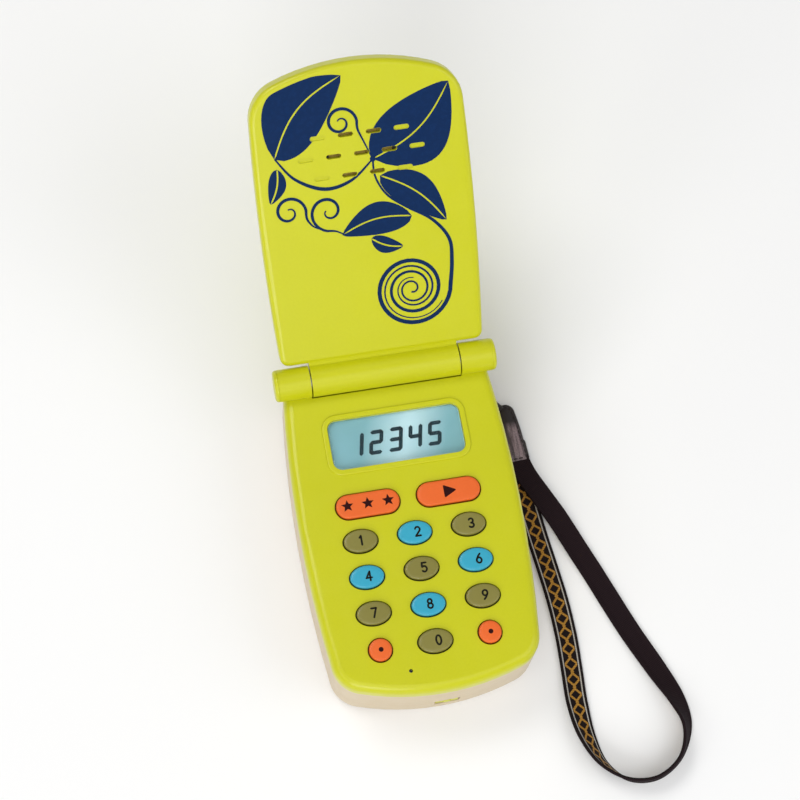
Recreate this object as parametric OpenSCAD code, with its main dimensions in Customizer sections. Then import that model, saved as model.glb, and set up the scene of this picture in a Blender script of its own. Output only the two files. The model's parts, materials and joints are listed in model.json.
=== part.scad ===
// Toy flip phone with a wrist strap, lying open on its back. Millimetres.
// +X is to the right, +Y points from the mouthpiece to the hinge, and +Z comes out of the keypad.
// The origin is the middle of the flat back that the phone rests on.

/* [Handset] */
// Widest width of the handset
body_w = 61.8; // [60:0.2:64]
// Distance from the origin to the bottom end
bottom_y = 44.5; // [44:0.5:46]
// Distance from the origin to the end wall under the hinge
top_y = 48; // [47.5:0.5:48.5]
// Height of the front face above the rest plane
body_h = 24; // [24:0.2:25]
// Height of the parting line between the lime front shell and the cream frame
split_h = 19; // [18.8:0.1:19]
// Height of the cream rear cover
rear_h = 7.4; // [7.2:0.1:7.8]
// Thickness of the shell walls
wall = 1.8; // [1.6:0.1:2]
// Radius of the two bottom corners
corner_r = 9; // [7:0.5:11]

/* [Hinge] */
// Height of the hinge axis above the rest plane
hinge_z = 26; // [26:0.2:27]
// Distance of the hinge axis from the origin, towards the top
hinge_y = 46.5; // [46.5:0.5:47]
// Outer radius of the hinge barrel
barrel_r = 4.5; // [4.3:0.1:4.7]
// Half the length of the lid's knuckle
knuckle_x = 20.8; // [20:0.2:22]
// Half the length of the whole barrel with its caps
barrel_x = 31.2; // [31:0.1:32]
// Angle of the open lid above the horizontal
open_angle = 42; // [30:1:60]

/* [Lid] */
// Widest width of the lid
lid_w = 59; // [57:0.2:60]
// Length of the lid from the hinge axis to its tip
lid_len = 88.6; // [88:0.2:90]
// Thickness of the lid
lid_t = 7; // [7:0.2:8]

/* [Keys] */
// Width of an oval key
key_w = 9.3; // [8.6:0.1:10]
// Depth of an oval key along the phone
key_d = 6.4; // [5.8:0.1:6.8]
// Diameter of the two round keys
round_d = 6.2; // [5.6:0.1:6.6]
// Width of a pill key
pill_w = 17.6; // [16:0.1:18]
// Depth of a pill key along the phone
pill_d = 6.8; // [6:0.1:7]
// Distance between key columns
col_pitch = 15; // [14.6:0.1:15.2]
// Distance between key rows
row_pitch = 10.2; // [9.8:0.1:10.4]
// How far the keys stand above the front face
key_rise = 1; // [0.6:0.1:1.1]
// How far a key travels when pressed
key_travel = 0.8; // [0.5:0.1:0.8]

/* [Display] */
// Width of the display window
display_w = 37; // [34:0.5:37.5]
// Depth of the display window along the phone
display_d = 14.4; // [13:0.2:14.6]

/* [Strap] */
// Width of the woven ribbon
ribbon_w = 6.2; // [5:0.1:6.4]
// Thickness of the woven ribbon
ribbon_t = 0.9; // [0.7:0.1:1]
// Thickness of the short cord between the lug and the tab
cord_d = 1.1; // [0.9:0.1:1.2]

/* [Hidden] */
$fn = 64;

eps = 0.01;
side_r = 345;           // radius of the handset's bowed sides
bow_y = 7.5;            // where the handset is widest
end_arc_r = 70;         // radius of the handset's bottom end
top_corner_r = 3;
front_edge_r = 2.6;     // rounding of the front face's edge
rear_edge_r = 2.2;      // rounding of the back's edge
face_t = 1.6;           // thickness of the front face
inner_z = body_h - face_t;

// Battery box and its door
door_t = 1.4;
door_gap = 0.15;
door_rim = 2;           // how far the door reaches past the box at each side
battery_d = 10.5;
battery_l = 44.5;
battery_x = 5.6;
battery_z = door_t + door_gap + battery_d / 2;
box_x = 11.2;           // half the width of the battery box
box_y0 = -28.4;
box_y1 = 21.2;
box_wall = 1;
box_top = battery_z + battery_d / 2 + 0.4;
roof_t = 1.2;
door_y0 = box_y0 - 1.8;
door_y1 = box_y1 + 8.2;
door_screw_y = box_y1 + 5.6;
rib_w = 0.7;            // grip ribs of the door
rib_pitch = 1.6;
contact_t = 0.35;
contact_w = 8;
spring_wire_r = 0.25;
spring_l = box_y1 - box_y0 - 2 * contact_t - battery_l;

// Levels inside the handset
floor_t = 1.6;          // thickness of the flat back
deck_z = rear_h + 0.2;  // plate of the cream frame that the posts stand on
deck_t = 1.2;
board_z = split_h;
board_t = 1.3;
board_x = 20.2;         // half the width of the circuit board
board_y0 = -40.4;
board_y1 = 36.8;
sheet_t = 0.4;          // silicone sheet under the keys
sheet_y0 = -34.9;
sheet_y1 = 14.1;
sheet_top = board_z + board_t + sheet_t;
flange_t = 0.55;        // flange that holds a key in its opening
flange_gap = 0.1;
flange_z = inner_z - flange_gap - flange_t;
pad_t = flange_z - sheet_top - key_travel - 0.05;

// Keypad
key_gap = 0.35;
flange_lip = 0.6;
row_y = -0.55;          // centre of the row 1 2 3
pill_x = 11.25;
pill_y = 9.45;
display_y = 27.45;
window_gap = 0.1;
rim_w = 1.7;
rim_h = 0.5;
lens_t = 1;
lens_z = body_h - 0.15 - lens_t;
window_r = 2.5;
rim_sink = 0.2;         // how deep the rim reaches into the front face
mic_x = -7.9;
mic_y = -38;
mic_hole_r = 0.55;

// Screws: head radius, head height, shaft radius and whole length
housing_screw = [2.2, 1.3, 0.95, 13];
board_screw = [1.5, 1, 0.75, 3.1];
door_screw_size = [1.8, 0.7, 0.8, 4.2];
screw_at = [[-23.5, -33], [23.5, -33], [-24.5, 33], [24.5, 33]];
board_screw_at = [[-18.6, 16.9], [18.6, 16.9], [-17.6, -37.1], [17.6, -37.1]];
housing_screw_z = 1.1;  // where the housing screws' heads begin
post_r = 2.8;
board_post_r = 1.6;
post_z = deck_z + deck_t;

// Small catch at the bottom end
clip_x = 2;
clip_w = 6.4;
clip_h = 3;
notch_w = 7;
notch_deep = 2.2;

// Hinge and lid. The lid is drawn flat, with its hinge axis on X and its inner face up,
// and lid_place() swings it to where it lies when open.
pin_r = 2.5;
pin_clear = 0.05;
pin_core_r = 1.3;
pin_grip = 8;           // how far a pin reaches into the lid's knuckle
pin_end = 2.1;          // how far a pin's outer end lies inside the barrel's end
knuckle_gap = 0.35;
relief_r = barrel_r + 0.35;
trough_r = relief_r + 1.2;
cap_t = 1.2;
lid_top_w = 0.5;        // inner face of the lid above the hinge axis
lid_start = 5.2;        // where the lid's shells begin
lid_split_w = -3;
lid_wall = 1.6;
lid_side_r = 714;
lid_bow_v = 45;         // where the lid is widest
lid_arc_r = 62;
lid_corner_r = 11;
lid_hinge_corner_r = 2.4;
lid_front_edge_r = 1.5;
lid_back_edge_r = 2.2;
web_t = 3.1;            // web between the lid's knuckle and its shell
lid_land = 0.4;         // how much thicker the outer shell's rim is than its wall
slot_pitch = 7.55;
slot_rows = [[69, 4], [63.4, 5], [57.8, 4]];   // distance from the hinge and number of slots
slot_l = 4.1;
slot_d = 1.25;
dent_t = 0.35;
speaker_r = 10;
speaker_v = 63.4;

lead_d = 1.3;
lead_hole_at = [-25.5, -1.05];
lead_hole_r = 1.1;

// Strap
lug_x = body_w / 2 - 0.5;
lug_y = 42.4;
lug_z = 2.8;
lug_t = 1.4;
lug_r = 1.8;
lug_hole_r = 0.95;
tab_w = 7.2;
tab_t = 2.8;
tab_top = [34.9, 36.3];
tab_top_r = 2.7;
tab_end = [35.6, 22];

// Route of the ribbon's centre line: x, y, z and roll in degrees
ribbon_route = [
  [35.7, 22.4, 1.9, 0], [37.2, 17, 1.8, 0], [40.1, 10.5, 1.7, 0], [43.5, 3, 1.6, 0],
  [47.1, -6, 0.9, 0], [50.3, -14, 0.5, 0], [53.6, -23, 0.5, 0], [57.4, -33, 0.5, 4],
  [62, -44, 1.1, 12], [65.8, -54, 2.2, 36], [66.6, -62, 3.1, 62], [63, -69.8, 3.3, 82],
  [55.8, -74.2, 3.3, 90], [47.8, -73.4, 3.3, 98], [41.6, -67.8, 3.1, 118], [38.8, -59.4, 2.2, 144],
  [38.2, -50, 1.1, 168], [38.7, -41, 0.5, 176], [39.1, -31, 0.5, 180], [38.8, -20.4, 0.5, 180],
  [37.8, -10, 0.5, 180], [36.6, 1, 0.5, 180], [35.7, 12, 0.6, 180], [35.4, 22.4, 0.7, 180]
];
// Route of the short cord from the tab, through the lug, over its rim and back
cord_route = [
  [34.5, 32.2, 1.4], [34.2, 34, 1.4], [33.6, 35.75, 1.45], [32.65, 37.4, 1.65], [31.6, 39, 2],
  [30.8, 40.7, 2.45], [30.4, 42.4, 2.8], [30.3, 44.44, 3], [30.3, 45.95, 4], [30.3, 46.55, 5.75],
  [30.3, 45.95, 7.5], [30.3, 44.39, 8.52], [30.5, 42.5, 8.35], [30.8, 41.25, 7.45], [31.25, 40.45, 6],
  [31.85, 39.8, 4.55], [32.75, 39.1, 3.25], [33.9, 38.1, 2.3], [35.05, 36.6, 1.7], [35.85, 34.8, 1.45],
  [36.2, 32.9, 1.4]
];
// Routes of the speaker's lead. In the handset they start from the hinge axis.
lead_base_route = [
  [-17, -10.1, -8], [-20, -6, -8.4], [-23.6, -2.3, -8.8], [-25.3, -1.2, -7.6], [-25.5, -1.1, -5],
  [-25.5, -1, -2.6], [-25.2, -0.6, -1], [-23.8, -0.1, -0.1], [-21.6, 0, 0], [-18, 0, 0], [-14, 0, 0]
];
// In the flat lid's own places
lead_lid_route = [
  [-13.6, 0, 0], [-11.9, 0.1, -0.1], [-10.6, 0.9, -0.8], [-10, 2.4, -1.5], [-9.8, 4.6, -1.55],
  [-9.7, 7.6, -1.6], [-9.6, 10.6, -2.4], [-9.3, 16, -3.6], [-8.6, 28, -3.8], [-6.8, 40, -3.8],
  [-4.6, 49, -3.8], [-4, 52.6, -3.8]
];

// ---------- Shared shapes ----------

function oval(w, d, n = 48) = [for (i = [0:n - 1]) [w / 2 * cos(360 * i / n), d / 2 * sin(360 * i / n)]];

// A point on the smooth curve through the points p, where t counts from one point to the next
function spline_at(p, t) =
  let (
    last = len(p) - 1,
    i = min(floor(t), last - 1),
    u = t - i,
    a = p[max(i - 1, 0)], b = p[i], c = p[i + 1], d = p[min(i + 2, last)]
  )
  0.5 * (2 * b + (c - a) * u + (2 * a - 5 * b + 4 * c - d) * u * u
    + (3 * b - a - 3 * c + d) * u * u * u);

function spline(p, steps) = [for (k = [0:(len(p) - 1) * steps]) spline_at(p, k / steps)];
function xyz(p) = [p[0], p[1], p[2]];
function unit(v) = v / norm(v);
function along(q, i) = unit(xyz(q[min(i + 1, len(q) - 1)]) - xyz(q[max(i - 1, 0)]));

// Sweeps a section along the points q. The section's first axis starts level and turns by roll.
module sweep(q, section, level = [0, 0, 1]) {
  m = len(section);
  rings = [for (i = [0:len(q) - 1])
    let (
      t = along(q, i),
      side = unit(cross(t, level)),
      up = cross(side, t),
      roll = len(q[i]) > 3 ? q[i][3] : 0,
      a = side * cos(roll) + up * sin(roll),
      b = cross(a, t)
    )
    [for (s = section) xyz(q[i]) + a * s[0] + b * s[1]]
  ];
  points = [for (r = rings, p = r) p];
  last = (len(q) - 1) * m;
  polyhedron(points, concat(
    [[for (j = [0:m - 1]) j]],
    [[for (j = [m - 1:-1:0]) last + j]],
    [for (i = [0:len(q) - 2], j = [0:m - 1])
      let (k = (j + 1) % m)
      [i * m + j, (i + 1) * m + j, (i + 1) * m + k]],
    [for (i = [0:len(q) - 2], j = [0:m - 1])
      let (k = (j + 1) % m)
      [i * m + j, (i + 1) * m + k, i * m + k]]
  ));
}

module wire(q, d, level = [0, 0, 1]) {
  sweep(q, [for (a = [22.5:45:359]) d / 2 * [cos(a), sin(a)]], level);
}

// Points of an arc about c, from angle a0 to a1
function arc(c, r, a0, a1, n) = [for (i = [0:n]) let (a = a0 + (a1 - a0) * i / n) c + r * [cos(a), sin(a)]];
function heading(v) = atan2(v[1], v[0]);
function flipped(p) = [for (i = [len(p) - 1:-1:0]) [-p[i][0], p[i][1]]];

// Right half of a long outline with bowed sides, a rounded end at y = -end and a flat end at y = flat.
// Every arc keeps its centre when the outline shrinks by inset.
function half_outline(w, side_r, bow, end, end_r, corner, flat, flat_corner, inset) =
  let (
    side_c = [w / 2 - side_r, bow],
    end_c = [0, end_r - end],
    gap = side_c - end_c,
    far = norm(gap),
    end_in = end_r - corner,
    lean = acos((pow(far, 2) + pow(end_in, 2) - pow(side_r - corner, 2)) / (2 * far * end_in)),
    low_a = heading(gap) + lean,
    low_c = end_c + end_in * [cos(low_a), sin(low_a)],
    top_dy = flat - flat_corner - bow,
    top_c = [side_c[0] + sqrt(pow(side_r - flat_corner, 2) - pow(top_dy, 2)), flat - flat_corner],
    side_a = heading(low_c - side_c),
    top_a = heading(top_c - side_c)
  )
  concat(
    arc(end_c, end_r - inset, -90, low_a > 0 ? low_a - 360 : low_a, 6),
    arc(low_c, corner - inset, low_a > 0 ? low_a - 360 : low_a, side_a, 8),
    arc(side_c, side_r - inset, side_a + 0.01, top_a - 0.01, 8),
    arc(top_c, flat_corner - inset, top_a, 90, 5)
  );

function whole(half) = concat(half, [for (p = flipped(half)) if (p[0] < -0.001) p]);

// Outline of the handset seen from above
function body_ring(inset = 0) = whole(half_outline(
  body_w, side_r, bow_y, bottom_y, end_arc_r, corner_r, top_y, top_corner_r, inset));

// Outline of the flat lid, from its hinge edge to its tip
function lid_ring(inset = 0) = [for (p = whole(half_outline(
  lid_w, lid_side_r, -lid_bow_v, lid_len, lid_arc_r, lid_corner_r, -lid_start, lid_hinge_corner_r, inset
))) -p];

function round_rect_ring(w, d, r, n = 6) = concat(
  arc([w / 2 - r, d / 2 - r], r, 0, 90, n), arc([r - w / 2, d / 2 - r], r, 90, 180, n),
  arc([r - w / 2, r - d / 2], r, 180, 270, n), arc([w / 2 - r, r - d / 2], r, 270, 360, n)
);
function pill_ring(w, d, n = 16) = concat(
  arc([(w - d) / 2, 0], d / 2, -90, 90, n), arc([(d - w) / 2, 0], d / 2, 90, 270, n)
);

// Closed solid through level rings of equally many points. Each ring is [height, outline].
module loft(rings) {
  n = len(rings[0][1]);
  top = (len(rings) - 1) * n;
  polyhedron([for (r = rings, p = r[1]) [p[0], p[1], r[0]]], concat(
    [[for (j = [0:n - 1]) j]],
    [[for (j = [n - 1:-1:0]) top + j]],
    [for (i = [0:len(rings) - 2], j = [0:n - 1])
      let (k = (j + 1) % n)
      [i * n + j, (i + 1) * n + j, (i + 1) * n + k]],
    [for (i = [0:len(rings) - 2], j = [0:n - 1])
      let (k = (j + 1) % n)
      [i * n + j, (i + 1) * n + k, i * n + k]]
  ));
}

// Heights and insets of an edge that is rounded with radius r, from a wall up to the level z
function round_up(z, r, steps = 4) =
  [for (i = [0:steps]) let (a = 90 * i / steps) [z - r * (1 - sin(a)), r * (1 - cos(a))]];
function round_down(z, r, steps = 4) =
  [for (i = [steps:-1:0]) let (a = 90 * i / steps) [z + r * (1 - sin(a)), r * (1 - cos(a))]];

module body_slab(z0, z1, inset = 0) {
  translate([0, 0, z0]) linear_extrude(z1 - z0) polygon(body_ring(inset));
}

module lid_slab(w0, w1, inset = 0) {
  translate([0, 0, w0]) linear_extrude(w1 - w0) polygon(lid_ring(inset));
}

module lid_place() {
  translate([0, hinge_y, hinge_z]) rotate([open_angle, 0, 0]) children();
}

module along_x(x0, x1, r) {
  translate([x0, 0, 0]) rotate([0, 90, 0]) cylinder(r = r, h = x1 - x0);
}

module round_rect(w, d, r) {
  polygon(round_rect_ring(w, d, r));
}

// ---------- Handset shells ----------

module front_housing() {
  color("#d2d638") {
    difference() {
      loft([for (e = concat([[split_h, 0]], round_up(body_h, front_edge_r))) [e[0], body_ring(e[1])]]);
      difference() {
        body_slab(split_h - 1, inner_z, wall);
        translate([0, hinge_y, hinge_z]) along_x(-barrel_x, barrel_x, trough_r);
      }
      translate([0, hinge_y, hinge_z])
        along_x(-knuckle_x - knuckle_gap, knuckle_x + knuckle_gap, relief_r);
      keypad_holes();
      translate([0, display_y, inner_z - 1]) linear_extrude(4) window_outline();
      translate([mic_x, mic_y, inner_z - 1]) cylinder(r = mic_hole_r, h = 4);
      lead_hole();
    }
    display_rim();
    for (s = [0, 1]) mirror([s, 0, 0]) base_knuckle(s == 1);
    for (p = screw_at)
      screw_post(p, post_z, post_r, housing_screw[2], housing_screw_z + housing_screw[3] + 1.4);
    for (p = board_screw_at)
      screw_post(p, board_z + board_t, board_post_r, board_screw[2], inner_z - 0.2);
  }
}

// A hollow post that a self-tapping screw cuts its thread in. Its hole ends at the level hole_z.
module screw_post(at, z, r, hole_r, hole_z) {
  translate([at[0], at[1], z]) difference() {
    cylinder(r = r, h = inner_z + eps - z);
    translate([0, 0, -1]) cylinder(r = hole_r, h = hole_z - z + 1);
  }
}

module keypad_holes() {
  translate([0, 0, inner_z - 1]) linear_extrude(4) {
    for (at = oval_places) translate(at) polygon(oval(key_w + 2 * key_gap, key_d + 2 * key_gap));
    for (s = [-1, 1]) {
      translate(key_at(s, 3)) circle(d = round_d + 2 * key_gap);
      translate([s * pill_x, pill_y]) polygon(pill_ring(pill_w + 2 * key_gap, pill_d + 2 * key_gap));
    }
  }
}

function key_at(c, r) = [c * col_pitch, row_y - r * row_pitch];
oval_places = concat([for (r = [0:2], c = [-1:1]) key_at(c, r)], [key_at(0, 3)]);

module window_outline() {
  round_rect(display_w + 2 * window_gap, display_d + 2 * window_gap, window_r + window_gap);
}

// Low bevelled rim round the display window
module display_rim() {
  translate([0, display_y, body_h - rim_sink]) difference() {
    loft([for (e = concat([[0, 0]], round_up(rim_sink + rim_h, rim_h)))
      let (grow = rim_w - e[1])
      [e[0], round_rect_ring(display_w + 2 * grow, display_d + 2 * grow, window_r + grow)]]);
    translate([0, 0, -1]) linear_extrude(4) window_outline();
  }
}

// One outer knuckle of the hinge, on the right side before it is mirrored
module base_knuckle(has_lead) {
  x = knuckle_x + knuckle_gap;
  difference() {
    translate([0, hinge_y, hinge_z]) along_x(x, barrel_x - cap_t, barrel_r);
    translate([0, hinge_y, hinge_z]) along_x(x - 1, barrel_x, pin_r);
    if (has_lead) mirror([1, 0, 0]) lead_hole();
  }
}

// Passage that the speaker's lead takes from the handset into the left hinge pin
module lead_hole() {
  translate([lead_hole_at[0], hinge_y + lead_hole_at[1], split_h - 2])
    cylinder(r = lead_hole_r, h = hinge_z - split_h + 2);
}

module mid_frame() {
  color("#d9ccb4") difference() {
    union() {
      difference() {
        body_slab(rear_h, split_h);
        body_slab(rear_h - 1, split_h + 1, wall);
      }
      body_slab(deck_z, deck_z + deck_t, wall - 0.1);
      battery_box(deck_z, box_top + roof_t, box_wall);
    }
    battery_box(rear_h - 1, box_top, 0);
    for (p = screw_at) translate([p[0], p[1], rear_h - 1]) cylinder(r = housing_screw[2] + 0.35, h = 4);
    clip_notch();
  }
}

// The battery box from level z0 to z1, with walls that thick
module battery_box(z0, z1, thick) {
  translate([-box_x - thick, box_y0 - thick, z0])
    cube([2 * (box_x + thick), box_y1 - box_y0 + 2 * thick, z1 - z0]);
}

// Fin with a hole on the right side near the hinge, for the strap
module strap_lug() {
  translate([lug_x, lug_y + lug_t / 2, lug_z]) rotate([90, 0, 0]) difference() {
    union() {
      cylinder(r = lug_r, h = lug_t);
      translate([-1.4 * lug_r, -lug_r, 0]) cube([1.4 * lug_r, 2 * lug_r, lug_t]);
    }
    translate([0, 0, -1]) cylinder(r = lug_hole_r, h = lug_t + 2);
  }
}

// Space for the catch, across the cream shells' parting line
module clip_notch() {
  translate([clip_x - notch_w / 2, -bottom_y - 1, rear_h - notch_deep])
    cube([notch_w, 3.2, 2 * notch_deep - 0.8]);
}

module rear_cover() {
  color("#e2d8c4") difference() {
    union() {
      difference() {
        loft([for (e = concat(round_down(0, rear_edge_r), [[rear_h, 0]])) [e[0], body_ring(e[1])]]);
        body_slab(floor_t, rear_h + 1, wall);
      }
      for (p = screw_at) rear_post(p, post_r);
      rear_post([0, door_screw_y], 2.6);
      battery_box(0.5, deck_z, box_wall);
      strap_lug();
    }
    battery_box(-1, rear_h + 1, 0);
    translate([0, 0, -1]) linear_extrude(door_t + 1) door_outline(door_gap);
    for (p = screw_at) translate([p[0], p[1], -1]) {
      cylinder(r = housing_screw[0] + 0.1, h = housing_screw_z + housing_screw[1] + 1);
      cylinder(r = housing_screw[2] + 0.2, h = rear_h + 2);
    }
    translate([0, door_screw_y, -1]) cylinder(r = door_screw_size[2], h = door_screw_size[3] + 1.2);
    clip_notch();
  }
}

module rear_post(at, r) {
  translate([at[0], at[1], 0.5]) cylinder(r = r, h = deck_z - 0.5);
}

module door_outline(gap = 0) {
  translate([0, (door_y0 + door_y1) / 2])
    round_rect(2 * (box_x + door_rim + gap), door_y1 - door_y0 + 2 * gap, 3 + gap);
}

module battery_door() {
  color("#e2d8c4") difference() {
    linear_extrude(door_t) door_outline();
    translate([0, door_screw_y, -1]) {
      cylinder(r = door_screw_size[2] + 0.25, h = door_t + 2);
      cylinder(r = door_screw_size[0] + 0.1, h = door_screw_size[1] + 1);
    }
    for (k = [-2:2]) translate([-5, box_y0 + 4.4 + rib_pitch * k, -1]) cube([10, rib_w, 1.3]);
  }
}

// A screw with its head at the bottom and a cross recess in it
module screw(size) {
  slot_w = 0.35;
  difference() {
    union() {
      cylinder(r = size[0], h = size[1]);
      cylinder(r = size[2], h = size[3]);
    }
    for (a = [0, 90]) rotate([0, 0, a])
      translate([-size[0] * 0.6, -slot_w / 2, -1]) cube([size[0] * 1.2, slot_w, 1.5]);
  }
}

module door_screw() {
  color("#b8b8bc") translate([0, door_screw_y, 0]) screw(door_screw_size);
}

module end_clip() {
  color("#c3c834") translate([clip_x, 0.35 - bottom_y, rear_h - 0.4]) {
    translate([-clip_w / 2, 0, -clip_h / 2]) cube([clip_w, 1.6, clip_h]);
    translate([0, 0.2, -0.1]) rotate([90, 0, 0]) cylinder(r = 1.1, h = 0.5);
  }
}

module housing_screws() {
  color("#b8b8bc") for (p = screw_at) translate([p[0], p[1], housing_screw_z]) screw(housing_screw);
}

module board_screws() {
  color("#b8b8bc") for (p = board_screw_at)
    translate([p[0], p[1], board_z - board_screw[1]]) screw(board_screw);
}

// ---------- Inside the handset ----------

module circuit_board() {
  color("#2f7d4a") translate([0, 0, board_z]) linear_extrude(board_t) difference() {
    intersection() {
      polygon(body_ring(wall + 0.6));
      translate([-board_x, board_y0]) square([2 * board_x, board_y1 - board_y0]);
    }
    for (p = board_screw_at) translate(p) circle(r = board_screw[2] + 0.15);
  }
}

// Silicone sheet with a low pad under each key
module keypad_membrane() {
  color("#9a9a96") {
    translate([-board_x, sheet_y0, sheet_top - sheet_t])
      cube([2 * board_x, sheet_y1 - sheet_y0, sheet_t]);
    for (at = concat(oval_places, [key_at(-1, 3), key_at(1, 3)])) pad(at, 2.2);
    for (s = [-1, 1], t = [-1, 1]) pad([s * pill_x + t * pill_w / 4.4, pill_y], 2);
  }
}

module pad(at, r) {
  translate([at[0], at[1], sheet_top - eps]) cylinder(r = r, h = pad_t);
}

module microphone() {
  h = inner_z - flange_gap - board_z - board_t;
  color("#a9adb3") translate([mic_x, mic_y, board_z + board_t]) difference() {
    cylinder(r = 2.9, h = h);
    translate([0, 0, h / 2]) cylinder(r = 0.8, h = h);
  }
}

module display_module() {
  color("#a8ced6") translate([0, display_y, board_z + board_t])
    linear_extrude(lens_z - board_z - board_t)
      round_rect(display_w - 0.3, display_d - 0.3, window_r - 0.1);
}

module display_lens() {
  color("#dff2f7", 0.4) translate([0, display_y, lens_z])
    linear_extrude(lens_t) round_rect(display_w, display_d, window_r);
}

// A dry cell that stands on its flat end, with the small raised end on top
module cell() {
  cylinder(d = battery_d, h = battery_l - 1);
  cylinder(d = 3.8, h = battery_l);
}

module battery_left() {
  color("#4b4f55") translate([-battery_x, box_y0 + contact_t + battery_l, battery_z])
    rotate([90, 0, 0]) cell();
}

module battery_right() {
  color("#4b4f55") translate([battery_x, box_y1 - contact_t - battery_l, battery_z])
    rotate([-90, 0, 0]) cell();
}

module battery_springs() {
  color("#c0c4c8") {
    translate([battery_x, box_y0 + contact_t, battery_z]) cone_spring();
    translate([-battery_x, box_y1 - contact_t, battery_z]) rotate([0, 0, 180]) cone_spring();
  }
}

// Three turns of wire that narrow towards the cell
module cone_spring() {
  rise = spring_l - 2 * spring_wire_r;
  turn = [for (k = [0:36]) let (r = 3.4 - k / 36)
    [r * cos(30 * k), spring_wire_r + rise * k / 36, r * sin(30 * k)]];
  sweep(turn, [for (a = [30:60:359]) spring_wire_r * [cos(a), sin(a)]], [0, 1, 0]);
}

module battery_contacts() {
  color("#c0c4c8") for (s = [-1, 1], y = [box_y0, box_y1 - contact_t])
    translate([s * battery_x - contact_w / 2, y, battery_z - contact_w / 2])
      cube([contact_w, contact_t, contact_w]);
}

// ---------- Hinge ----------

module hinge_pin_left() {
  color("#b8b8bc") difference() {
    translate([0, hinge_y, hinge_z]) along_x(pin_end - barrel_x, pin_grip - knuckle_x, pin_r);
    translate([0, hinge_y, hinge_z]) along_x(-barrel_x, pin_grip - knuckle_x + 1, pin_core_r);
    lead_hole();
  }
}

module hinge_pin_right() {
  color("#b8b8bc") translate([0, hinge_y, hinge_z])
    along_x(knuckle_x - pin_grip, barrel_x - pin_end, pin_r);
}

// Closed ends of the barrel, with a plug that sits in the knuckle
module hinge_caps() {
  edge_r = 0.9;
  color("#d2d638") for (s = [0, 1]) mirror([s, 0, 0])
    translate([barrel_x - cap_t, hinge_y, hinge_z]) rotate([0, 90, 0]) {
      rotate_extrude() polygon(concat(
        [[0, 0], [barrel_r - 0.05, 0]],
        [for (a = [0:15:90]) [barrel_r - 0.05 - edge_r * (1 - cos(a)), cap_t - edge_r * (1 - sin(a))]],
        [[0, cap_t]]
      ));
      translate([0, 0, -0.8]) cylinder(r = pin_r, h = 1);
    }
}

module speaker_lead_base() {
  color("#b03a3a") translate([0, hinge_y, hinge_z]) wire(spline(lead_base_route, 3), lead_d, [0.3, 0.2, 1]);
}

module speaker_lead_lid() {
  color("#b03a3a") lid_place() wire(spline(lead_lid_route, 3), lead_d, [0.3, 0.2, 1]);
}

// ---------- Lid ----------

module lid_inner_shell() {
  color("#d2d638") lid_place() difference() {
    union() {
      difference() {
        loft([for (e = concat([[lid_split_w, 0]], round_up(lid_top_w, lid_front_edge_r)))
          [e[0], lid_ring(e[1])]]);
        lid_slab(lid_split_w - 1, lid_top_w - lid_wall, lid_wall);
      }
      along_x(-knuckle_x, knuckle_x, barrel_r);
      translate([-knuckle_x, 0, lid_split_w]) cube([2 * knuckle_x, lid_start + lid_wall + 0.4, web_t]);
    }
    along_x(-knuckle_x - 1, pin_grip + 4.5 - knuckle_x, pin_r + pin_clear);
    along_x(knuckle_x - pin_grip - 0.4, knuckle_x + 1, pin_r + pin_clear);
    lead_slot();
    speaker_slots();
  }
}

// Opening from the left pin's bore into the lid, for the speaker's lead
module lead_slot() {
  translate([-11.6, 0, -2.35]) cube([3.4, 9, 1.6]);
}

// Rows of slots over the speaker. The outer slots are only shallow dents.
module speaker_slots() {
  for (row = slot_rows, k = [0:row[1] - 1]) {
    off = k - (row[1] - 1) / 2;
    deep = abs(off) < row[1] / 2 - 0.8 ? 3 : dent_t;
    translate([off * slot_pitch, row[0], lid_top_w - deep])
      linear_extrude(4) polygon(pill_ring(slot_l, slot_d, 6));
  }
}

module lid_outer_shell() {
  bottom = lid_top_w - lid_t;
  color("#d2d638") lid_place() difference() {
    loft([for (e = concat(round_down(bottom, lid_back_edge_r), [[lid_split_w, 0]]))
      [e[0], lid_ring(e[1])]]);
    lid_slab(bottom + lid_wall, lid_split_w + 1, lid_wall + lid_land);
    along_x(-knuckle_x - 0.2, knuckle_x + 0.2, barrel_r + 0.05);
  }
}

// Basket, cone and rim of the speaker, with its front against the lid's inner shell
module speaker() {
  color("#3a3d42") lid_place() translate([0, speaker_v, lid_top_w - lid_wall - 3.6]) {
    cylinder(r = speaker_r, h = 1.2);
    cylinder(r = speaker_r - 0.6, h = 2.6);
    cylinder(r = 4.6, h = 0.9 + eps);
    translate([0, 0, 2.2]) difference() {
      cylinder(r = speaker_r, h = 1.4);
      translate([0, 0, -1]) cylinder(r = speaker_r - 1.2, h = 4);
    }
  }
}

// ---------- Keys ----------

// Heights of a key's rings, and how far each outline lies inside the key's own
key_top = body_h + key_rise;
key_crown = 0.06;
key_levels = concat(
  [for (z = [flange_z, flange_z + flange_t]) [z, -key_gap - flange_lip]],
  [[flange_z + flange_t, 0]],
  round_up(key_top, 0.5, 3),
  [[key_top + key_crown, 1.2]]
);

module oval_key(c, r, tone) {
  color(tone) translate(key_at(c, r))
    loft([for (e = key_levels) [e[0], oval(key_w - 2 * e[1], key_d - 2 * e[1])]]);
}

module round_key(c) {
  color("#f57d3c") translate(key_at(c, 3)) rotate_extrude() polygon(concat(
    [[0, flange_z]], [for (e = key_levels) [round_d / 2 - e[1], e[0]]], [[0, key_top + key_crown]]
  ));
}

module pill_key(s) {
  color("#f57d3c") translate([s * pill_x, pill_y])
    loft([for (e = key_levels) [e[0], pill_ring(pill_w - 2 * e[1], pill_d - 2 * e[1])]]);
}

olive = "#948e50";
blue = "#4bb4cd";

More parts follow.
